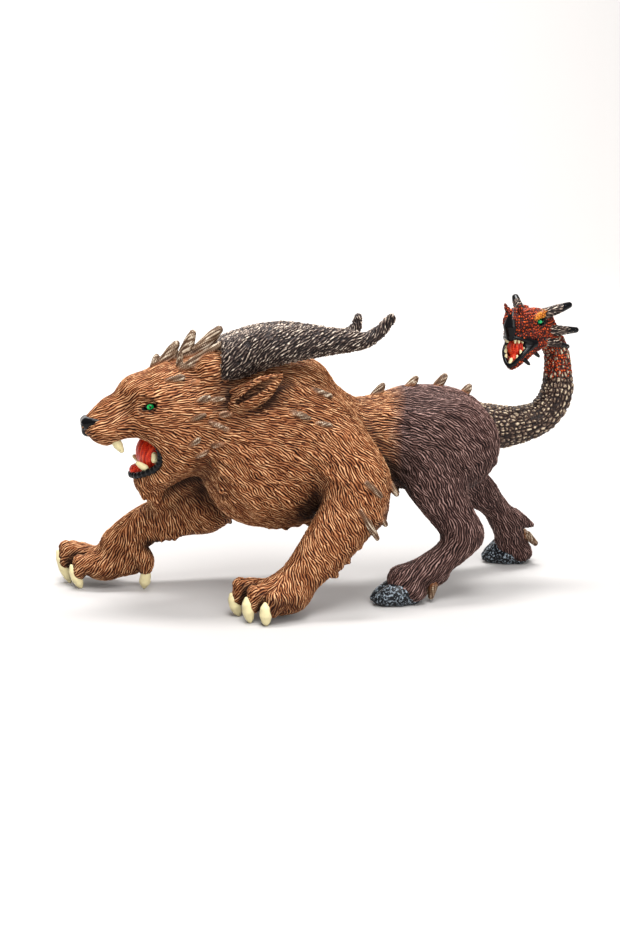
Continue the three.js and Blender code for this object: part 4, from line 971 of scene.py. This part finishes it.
def measured(surface, layers, heights):
    """The heights that the nodes give at each point of a surface."""
    mesh = bpy.data.meshes.new("measured")
    mesh.vertices.add(len(surface.points))
    for name in GRAIN:
        layer = mesh.attributes.new(name, "FLOAT_VECTOR", "POINT")
        layer.data.foreach_set("vector", np.float32(layers[name]).ravel())
    holder = bpy.data.objects.new("measured", mesh)
    bpy.context.collection.objects.link(holder)
    tree = bpy.data.node_groups.new("measured", "GeometryNodeTree")
    tree.interface.new_socket("Geometry", in_out="INPUT", socket_type="NodeSocketGeometry")
    tree.interface.new_socket("Geometry", in_out="OUTPUT", socket_type="NodeSocketGeometry")
    nodes = Nodes(tree)
    inputs = [nodes.add("GeometryNodeInputNamedAttribute", {"Name": name}, data_type="FLOAT_VECTOR"
                        ).outputs[0] for name in GRAIN]
    geometry = nodes.add("NodeGroupInput").outputs[0]
    for i, value in enumerate(heights(nodes, *inputs)):
        geometry = nodes.add("GeometryNodeStoreNamedAttribute",
                             {"Geometry": geometry, "Name": f"height{i}", "Value": value},
                             data_type="FLOAT", domain="POINT").outputs[0]
    nodes.add("NodeGroupOutput", {0: geometry})
    holder.modifiers.new("measured", "NODES").node_group = tree
    made = holder.evaluated_get(bpy.context.evaluated_depsgraph_get()).data
    found = []
    for i in range(2):
        values = np.empty(len(surface.points), np.float32)
        made.attributes[f"height{i}"].data.foreach_get("value", values)
        found.append(values)
    bpy.data.objects.remove(holder)
    bpy.data.meshes.remove(mesh)
    bpy.data.node_groups.remove(tree)
    return found


# Meshes


def vertex_normals(points, quads):
    corners = points[quads]
    across = np.cross(corners[:, 2] - corners[:, 0], corners[:, 3] - corners[:, 1])
    total = np.stack([np.bincount(quads.ravel(), np.repeat(across[:, i], 4), len(points))
                      for i in range(3)], 1)
    return (total / np.maximum(length_of(total), 1e-9)[:, None]).astype(np.float32)


def piece(name, material, surface, layers, normals=None, which=None):
    """A Blender object of the surface's quads, or of some of them, with its stored layers."""
    quads = surface.quads if which is None else surface.quads[which]
    used, inverse = np.unique(quads, return_inverse=True)
    quads = inverse.reshape(-1, 4)
    mesh = bpy.data.meshes.new(name)
    mesh.vertices.add(len(used))
    mesh.vertices.foreach_set("co", ((surface.points[used] + SHIFT) * TO_METRES).ravel())
    mesh.loops.add(quads.size)
    mesh.loops.foreach_set("vertex_index", quads.astype(np.int32).ravel())
    mesh.polygons.add(len(quads))
    mesh.polygons.foreach_set("loop_start", np.arange(0, quads.size, 4, dtype=np.int32))
    mesh.update(calc_edges=True)
    mesh.shade_smooth()
    for key, values in layers.items():
        flat = np.float32(values[used])
        kind, field = ("FLOAT", "value") if flat.ndim == 1 else ("FLOAT_VECTOR", "vector")
        mesh.attributes.new(key, kind, "POINT").data.foreach_set(field, flat.ravel())
    if normals is not None:
        mesh.normals_split_custom_set_from_vertices(normals[used])
    mesh.materials.append(material)
    made = bpy.data.objects.new(name, mesh)
    bpy.context.collection.objects.link(made)
    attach(made, "root")
    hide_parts("chimera_figure")


def hollowness(clay, points, normals, reach):
    """From 0 on open ground to 1 far down in a fold, by how near the surface is ahead of a point; it
    places the painted shade.
    """
    cell = clay.step * COARSE
    ahead = sample(clay.coarse, clay.low, cell, points + normals * reach)
    return np.clip(1 - ahead / reach, 0, 1)


# Paint


def paint(red, green, blue):
    """A colour read as 0 to 255 in a picture, as the shader's linear values."""
    values = [c / 255 for c in (red, green, blue)]
    return (*[c / 12.92 if c <= 0.04045 else ((c + 0.055) / 1.055) ** 2.4 for c in values], 1)


def layer(nodes, name):
    return nodes.add("ShaderNodeAttribute", attribute_name=name, attribute_type="GEOMETRY")


def ramp(nodes, value, stops):
    made = nodes.add("ShaderNodeValToRGB", {0: value})
    elements = made.color_ramp.elements
    while len(elements) < len(stops):
        elements.new(0.5)
    for element, (at, colour) in zip(elements, stops):
        element.position, element.color = at, paint(*colour)
    return made.outputs[0]


def mix(nodes, share, a, b):
    made = nodes.add("ShaderNodeMix", data_type="RGBA")
    for key, value in ((0, share), (6, a), (7, b)):
        if isinstance(value, bpy.types.NodeSocket):
            nodes.tree.links.new(value, made.inputs[key])
        else:
            made.inputs[key].default_value = value
    return made.outputs[2]


def material(name):
    made = bpy.data.materials.new(name)
    made.use_nodes = True
    made.node_tree.nodes.clear()
    return made, Nodes(made.node_tree)


def finish_material(nodes, colour, roughness, height=None, depth=0.12, **settings):
    """Joins colour and height to a shader. Depth is in millimetres."""
    inputs = {"Base Color": colour, "Roughness": roughness, "Specular IOR Level": 0.2, **settings}
    if height is not None:
        bump = nodes.add("ShaderNodeBump", {"Height": height, "Strength": 0.7,
                                            "Distance": depth * TO_METRES})
        inputs["Normal"] = bump.outputs[0]
    shader = nodes.add("ShaderNodeBsdfPrincipled", inputs)
    nodes.add("ShaderNodeOutputMaterial", {0: shader.outputs[0]})


LION = [(0, (11, 2, 0)), (0.25, (46, 15, 3)), (0.5, (112, 60, 31)), (0.72, (174, 116, 76)),
        (1, (240, 192, 144))]
GOAT = [(0, (3, 1, 1)), (0.25, (22, 11, 10)), (0.5, (57, 38, 35)), (0.72, (98, 72, 66)),
        (1, (170, 138, 130))]
BARE = [(0, (4, 2, 2)), (0.48, (24, 15, 14)), (0.68, (74, 58, 52)), (0.86, (172, 154, 138)),
        (1, (240, 226, 208))]
BONE = [(0, (44, 26, 16)), (0.35, (86, 62, 44)), (0.65, (120, 98, 78)), (0.85, (172, 154, 132)),
        (1, (230, 220, 202))]
SHADOW = (30, 16, 11)  # painted shade, and the wash, in the folds of the fur
INK = (16, 14, 15)  # round the eyes
PUPIL = (10, 10, 12)
RED = [(0, (120, 14, 8)), (0.4, (204, 42, 20)), (0.8, (232, 74, 40)), (1, (240, 120, 80))]


def grain_of(nodes):
    return [layer(nodes, name).outputs[1] for name in GRAIN]


def coat():
    made, nodes = material("painted_fur")
    grain = grain_of(nodes)
    place = grain[0]
    fur, clumps = fur_height(nodes, *grain)
    height = nodes.math("MULTIPLY_ADD", clumps, 0.42, nodes.math("MULTIPLY", fur, 0.58))
    lion = ramp(nodes, height, LION)
    goat = ramp(nodes, height, GOAT)
    furred = mix(nodes, layer(nodes, "goat").outputs[2], lion, goat)
    # Painted shade and wash: the fur darkens towards SHADOW in folds, hollows and under the jaw.
    painted_shade_and_wash = layer(nodes, "painted_shade_and_wash").outputs[2]
    shaded = mix(nodes, painted_shade_and_wash, furred, paint(*SHADOW))
    inner = ramp(nodes, nodes.noise(place, 1.1, 2), [(0.3, (96, 16, 12)), (0.7, (190, 44, 24))])
    colour = mix(nodes, layer(nodes, "mouth").outputs[2], shaded, inner)
    colour = mix(nodes, layer(nodes, "ink").outputs[2], colour, paint(*INK))
    finish_material(nodes, colour, 0.6, fur, 0.18, **{"Specular IOR Level": 0.1})
    return made


def streaked(name, stops, heights, roughness, depth):
    made, nodes = material(name)
    fine, coarse = heights(nodes, *grain_of(nodes))
    height = nodes.math("MULTIPLY_ADD", coarse, 0.25, nodes.math("MULTIPLY", fine, 0.75))
    bare = ramp(nodes, height, stops)
    furred = mix(nodes, height, paint(66, 32, 16), paint(160, 104, 66))
    colour = mix(nodes, layer(nodes, "furred").outputs[2], bare, furred)
    finish_material(nodes, colour, roughness, fine, depth)
    return made


def scaled():
    made, nodes = material("painted_scales")
    bump, strokes = scale_height(nodes, *grain_of(nodes))
    height = nodes.math("MULTIPLY_ADD", strokes, 0.4, nodes.math("MULTIPLY", bump, 0.6))
    brown = ramp(nodes, height, [(0, (8, 3, 2)), (0.35, (40, 25, 20)), (0.7, (104, 84, 70)),
                                 (1, (206, 188, 160))])
    orange = ramp(nodes, height, [(0, (5, 1, 1)), (0.35, (44, 9, 4)), (0.7, (140, 36, 8)),
                                  (1, (216, 92, 28))])
    gold = ramp(nodes, height, [(0, (150, 50, 10)), (0.6, (240, 150, 30)), (1, (250, 200, 60))])
    colour = mix(nodes, layer(nodes, "orange").outputs[2], brown, orange)
    colour = mix(nodes, layer(nodes, "gold").outputs[2], colour, gold)
    colour = mix(nodes, layer(nodes, "ink").outputs[2], colour, paint(12, 12, 14))
    finish_material(nodes, colour, 0.45, bump, 0.2)
    return made


def speckled(name, base, speck, size, share, roughness):
    """Paint with specks of another colour, where two noises run high together."""
    made, nodes = material(name)
    place = layer(nodes, "place").outputs[1]
    spots = nodes.math("MULTIPLY", nodes.noise(place, size, 1), nodes.noise(place, size * 3))
    mask = nodes.math("MULTIPLY_ADD", spots, 14, -14 * share, clamp=True)
    shade = mix(nodes, nodes.noise(place, size * 6, 1), paint(*base), paint(*[c * 0.86 for c in base]))
    finish_material(nodes, mix(nodes, mask, shade, paint(*speck)), roughness, mask, 0.03)
    return made


def eye_paint(name, rings):
    """Rings of colour by how far a point lies from the middle of the gaze."""
    made, nodes = material(name)
    value = layer(nodes, "gaze").outputs[2]
    colour = paint(*rings[0][1])
    for out, ring in rings[1:]:
        edge = nodes.math("MULTIPLY_ADD", value, 12, -12 * out, clamp=True)
        colour = mix(nodes, edge, colour, paint(*ring))
    finish_material(nodes, colour, 0.12, **{"Coat Weight": 0.5})
    return made


def made_of(step, form):
    clay = Clay(step)
    form(clay)
    return clay


FLOOR = Mass([-FAR, -FAR, -FAR], [FAR, FAR, 0], lambda p: p[:, 2])


def small(name, colouring, clay, comb=(1, 0, 0), heights=None, relief=0, extra=None):
    """A piece traced whole. Its comb is one direction, or a function of its points."""
    surface = clay.trace().settle()
    place, n = surface.points.copy(), surface.normals()
    ways = comb(place) if callable(comb) else np.tile(np.float32(comb), (len(place), 1))
    comb = tangent(ways, n)
    layers = {"place": place, "comb": comb, "across": np.cross(n, comb)}
    if extra:
        layers.update(extra(place))
    if relief:
        fine, coarse = measured(surface, layers, heights)
        raised = (fine - MIDDLE) * relief + (coarse - MIDDLE) * relief * 0.5
        surface.points = place + n * raised[:, None]
    piece(name, colouring, surface, layers)


# The skin: one surface, dressed in fur, and parted into pieces where it is easiest to hold.

PARTINGS = {"head": -43, "mane": -22, "shoulders": 11, "hindquarters": FAR}  # where each ends, in x
FUR_RELIEF = 0.26
FACE_RELIEF = 0.1  # how much lower the fur is on the muzzle
DARKEST = 0.9  # share of shadow in the deepest folds


def near_ball(points, centre, radii):
    """From 1 inside an ellipsoid to 0 outside, over about half a millimetre."""
    radii = np.float32(radii)
    inside = length_of((points - np.float32(centre)) / radii)
    return np.clip((1 - inside) * radii.min() / 0.4 + 0.5, 0, 1)


RIMS = [([-61.6, 9.4, 71.2], [1.7, 2.6, 1.2]), ([-63.2, 9, 70.5], [1.1, 2.4, 0.7]),
        ([-60.2, 9.6, 71.9], [1.1, 2.4, 0.7])]  # the black round the lion's eye


def skin(body, fur):
    surface = body.trace().largest().settle()
    place, n = surface.points.copy(), surface.normals()
    comb = hair(place, n)
    wavy = waved(place)
    mouth = near_ball(place, GAPE[0], [GAPE[1][0] + 0.5, 8, GAPE[1][2] + 0.5])
    rims = [near_ball(place, mirror(side, middle), radii) for side in SIDES for middle, radii in RIMS]
    ink = np.max(rims, 0)
    # The goat's coat begins further forward on the legs, and further back on top.
    low = np.clip((44 - place[:, 2]) / 14, 0, 1) + np.clip((22 - place[:, 2]) / 10, 0, 1)
    front = 21.5 - 9 * low + 0.35 * np.maximum(place[:, 2] - 62, 0)
    goat = np.clip((place[:, 0] - front) / 6 + 0.5, 0, 1)
    # Painted shade and wash: the fur is darker the more closed in a place is by folds and hollows,
    # standing for the shade that falls there together with the figure's darker wash in its creases, and
    # less of it round the eyes.
    painted_shade_and_wash = 0.6 * hollowness(body, place, n, 2.4) + 0.8 * hollowness(body, place, n, 7)
    sockets = [near_ball(place, mirror(side, EYE), [5, 5, 5]) for side in SIDES]
    painted_shade_and_wash *= 1 - 0.8 * np.max(sockets, 0)
    # Painted shade down the slit in each ear.
    slits = [limb(mirror(side, EAR_SLIT)).distance(place) for side in SIDES]
    painted_shade_and_wash = np.maximum(painted_shade_and_wash, np.clip(0.7 - np.minimum(*slits), 0, 0.75))
    painted_shade_and_wash += 0.8 * np.exp(-((place - np.float32([-43, 12, 42])) ** 2).sum(1) / 60)  # painted shadow under the jaw, on top of the far foreleg
    painted_shade_and_wash += 0.3 * np.clip((12 - place[:, 2]) / 8, 0, 1) * (1 - goat)  # and darker low down in the lion's paws
    layers = {"place": wavy, "comb": comb, "across": np.cross(n, comb), "goat": goat, "mouth": mouth,
              "ink": ink, "painted_shade_and_wash": np.clip(painted_shade_and_wash, 0, DARKEST)}
    fine, clumps = measured(surface, layers, fur_height)
    face = np.exp(-((place - np.float32([-70, 0, 64])) ** 2).sum(1) / 600)
    relief = (FUR_RELIEF - FACE_RELIEF * face) * (1 - np.maximum(mouth, ink))
    surface.points = place + n * ((fine - MIDDLE) * relief + (clumps - MIDDLE) * relief)[:, None]
    normals = vertex_normals(surface.points, surface.quads)
    middle = place[surface.quads].mean(1)
    start = -FAR
    for name, end in PARTINGS.items():
        which = (middle[:, 0] > start) & (middle[:, 0] <= end)
        piece(name, fur, surface, layers, normals, which)
        start = end


def build_skin():
    body, claws = Clay(BODY_STEP), Clay(FINE_STEP)
    hooves, dewclaws = Clay(BODY_STEP), Clay(FINE_STEP)
    trunk(body)
    neck(body)
    head(body)
    jaw(body)
    forelegs(body)
    paws(body, claws)
    hindlegs(body, hooves, dewclaws)
    locks(body, [-46, -4], [34, 80], 6, LOCK_LENGTH)
    locks(body, [6, 52], [40, 68], 6.6, LOCK_LENGTH)
    fringes(body)
    ears(body)
    horn_roots(body)
    return body, claws, hooves, dewclaws


fur = coat()
horn = streaked("dry_brushed_horn", BARE, bark_height, 0.5, 0.25)
bone = streaked("streaked_spike", BONE, streak_height, 0.5, 0.1)
ivory = speckled("ivory_paint", (232, 219, 170), (60, 52, 40), 0.4, 0.48, 0.3)
black = speckled("black_gloss", (7, 7, 9), (70, 78, 96), 0.4, 0.5, 0.18)
hoof_paint = speckled("hoof_paint", (14, 15, 19), (150, 162, 172), 0.25, 0.3, 0.35)
red = streaked("mouth_paint", RED, streak_height, 0.3, 0.1)
scales = scaled()

body, claws, hooves, dewclaws = build_skin()
skin(body, fur)


def spike_comb(place):
    """Along the spikes: up and back on the head, down and back on the elbow."""
    low = (place[:, 2] < 55)[:, None]
    return np.where(low, np.float32([0.6, 0, -0.9]), np.float32([0.8, 0, 0.4]))


def near_fur(place):
    """From 1 on the fur's surface to 0 about a millimetre off it."""
    off = sample(body.coarse, body.low, body.step * COARSE, place)
    return {"furred": np.clip(1 - (off - 0.1) / 0.9, 0, 1)}


def bare(place):
    return {"furred": np.zeros(len(place))}


for clay in (claws, hooves, dewclaws):
    clay.carve(FLOOR, 0.3)
small("claws", ivory, claws)
small("hooves", hoof_paint, hooves)
small("dewclaws", bone, dewclaws, (0, 0, 1), streak_height, 0.1, near_fur)
small("nose", black, made_of(FINE_STEP, nose))
small("tongue", red, made_of(FINE_STEP, tongue), (0.3, 0, 1), streak_height, 0.2, bare)
small("lips", black, made_of(FINE_STEP, lips))
small("teeth", ivory, made_of(FINE_STEP, teeth))


def gaze(place):
    lies = [length_of((place - np.float32(mirror(side, EYE)))[:, ::2]) for side in SIDES]
    return {"gaze": np.minimum(*lies)}


iris = eye_paint("lion_eye", [(0, PUPIL), (0.4, (26, 190, 92)), (1.1, PUPIL)])
small("eyes", iris, made_of(EYE_STEP, eyes), extra=gaze)


def horn_comb(place):
    """Ridges that wind round each horn as they run along it."""
    side = np.where(place[:, 1] < 0, LEFT, RIGHT)
    ways = np.empty_like(place)
    for s in SIDES:
        near = place[side == s]
        way, straight = along_curve(near, HORNS[s])
        up = np.cross(way, [0, 1, 0])
        out = straight[:, :1] * np.float32([[0, 1, 0]]) + straight[:, 1:2] * up
        ways[side == s] = way - 0.6 * np.cross(way, out / length_of(out)[:, None])
    return ways


def horn_layers(place):
    return {**bare(place), "place": waved(place)}


small("horns", horn, made_of(BODY_STEP, horns), horn_comb, bark_height, 0.85, horn_layers)

spikes = Clay(TAIL_STEP)
crest(spikes)
studs(body, spikes)
spines(spikes)
small("spikes", bone, spikes, spike_comb, streak_height, 0.25, near_fur)


def tail_form(clay):
    clay.add(limb(TAIL), 3)


def tail_layers(place):
    straight = along_curve(place, TAIL)[1] * np.float32([1, 1, 0.7])
    zero = np.zeros(len(place))
    return {"place": straight, "comb": np.tile(np.float32([0, 0, 1]), (len(place), 1)),
            "orange": np.clip((place[:, 2] - 90) / 5, 0, 0.5), "gold": zero, "ink": zero}


def head_layers(place):
    inks = [near_ball(place, snake_eye(side), [2.8, 2.2, 1.6]) for side in SIDES]
    brows = [limb(on_side(side, SNAKE_BROW[1:])).distance(place) for side in SIDES]
    gold = np.clip(0.55 - 4 * np.minimum(*brows), 0, 0.55)
    return {"place": place * FINER, "orange": np.ones(len(place)), "gold": gold,
            "ink": np.maximum(*inks)}


def snake_gaze(place):
    """How far a point lies from the upright slit of the pupil."""
    slit = np.float32([[*SNAKE_AHEAD], [0, 0, 0.3]]).T
    lies = [length_of((place - np.float32(snake_eye(side))) @ slit) for side in SIDES]
    return {"gaze": np.minimum(*lies)}


small("tail", scales, made_of(TAIL_STEP, tail_form), (1, 0, 0), scale_height, 0.5,
      tail_layers)
small("snake_head", scales, made_of(HEAD_STEP, snake_head), tuple(-SNAKE_AHEAD),
      scale_height, 0.35, head_layers)
small("snake_mouth", red, made_of(FINE_STEP, snake_mouth), (0, 0, 1), streak_height, 0.2, bare)
small("snake_muzzle", black, made_of(FINE_STEP, snake_muzzle))
green = eye_paint("snake_eye", [(0, PUPIL), (0.35, (30, 190, 110))])
small("snake_eyes", green, made_of(EYE_STEP, snake_eyes), extra=snake_gaze)
horned, tips = Clay(FINE_STEP), Clay(FINE_STEP)
snake_horns(horned, tips)
small("snake_horns", horn, horned, tuple(-SNAKE_AHEAD), bark_height, 0.3, bare)
small("snake_horn_tips", black, tips)
small("snake_teeth", ivory, made_of(EYE_STEP, snake_teeth))


# The floor, the lights and the camera

CAMERA = Vector((-107.1, -489.8, 152.6)) * TO_METRES
AIM = Vector((-3.79, -3.81, 47)) * TO_METRES
LENS = 56.18
PAPER = (0.46, 0.445, 0.435, 1)
AMBIENT = 0.34  # strength of the light from all round
ROOM = 6  # half the floor's breadth, and the wall's height, in metres
BEND = 1.5  # radius of the curve between floor and wall
BACK = 1.2  # how far behind the figure the curve begins


def studio():
    """A white floor that curves up into a white wall."""
    bend = [(BACK + BEND * math.sin(a), BEND - BEND * math.cos(a)) for a in np.linspace(0.1, 1.57, 16)]
    profile = [(-ROOM, 0), (BACK, 0), *bend, (BACK + BEND, ROOM)]
    mesh = bpy.data.meshes.new("studio")
    points = [(x, y, z) for y, z in profile for x in (-ROOM, ROOM)]
    faces = [(2 * i, 2 * i + 1, 2 * i + 3, 2 * i + 2) for i in range(len(profile) - 1)]
    mesh.from_pydata(points, [], faces)
    mesh.shade_smooth()
    paper, nodes = material("white_paper")
    finish_material(nodes, PAPER, 0.9)
    mesh.materials.append(paper)
    made = bpy.data.objects.new("studio", mesh)
    bpy.context.collection.objects.link(made)


def light(name, place, size, power, aim=(0, 0, 0.05)):
    data = bpy.data.lights.new(name, "AREA")
    data.shape, data.size, data.energy = "DISK", size, power
    made = bpy.data.objects.new(name, data)
    made.location = place
    made.rotation_euler = (Vector(aim) - Vector(place)).to_track_quat("-Z", "Y").to_euler()
    bpy.context.collection.objects.link(made)


studio()
light("key", (-0.05, -0.45, 0.95), 0.6, 11)
light("fill", (0.25, -0.95, 0.5), 0.8, 6)
light("rim", (0.1, 0.8, 0.8), 0.5, 4)
light("wall", (0, 0.3, 2.2), 1.5, 160, (0, 2.4, 1.3))
world = bpy.data.worlds.new("studio")
world.use_nodes = True
world.node_tree.nodes["Background"].inputs["Color"].default_value = (1, 1, 1, 1)
world.node_tree.nodes["Background"].inputs["Strength"].default_value = AMBIENT
bpy.context.scene.world = world
bpy.context.scene.view_settings.view_transform = "Standard"

camera = bpy.data.objects.new("camera", bpy.data.cameras.new("camera"))
camera.data.lens = LENS
camera.data.sensor_width = 36
camera.data.clip_start, camera.data.clip_end = 0.01, 20
camera.location = CAMERA
camera.rotation_euler = (AIM - CAMERA).to_track_quat("-Z", "Y").to_euler()
bpy.context.collection.objects.link(camera)
bpy.context.scene.camera = camera
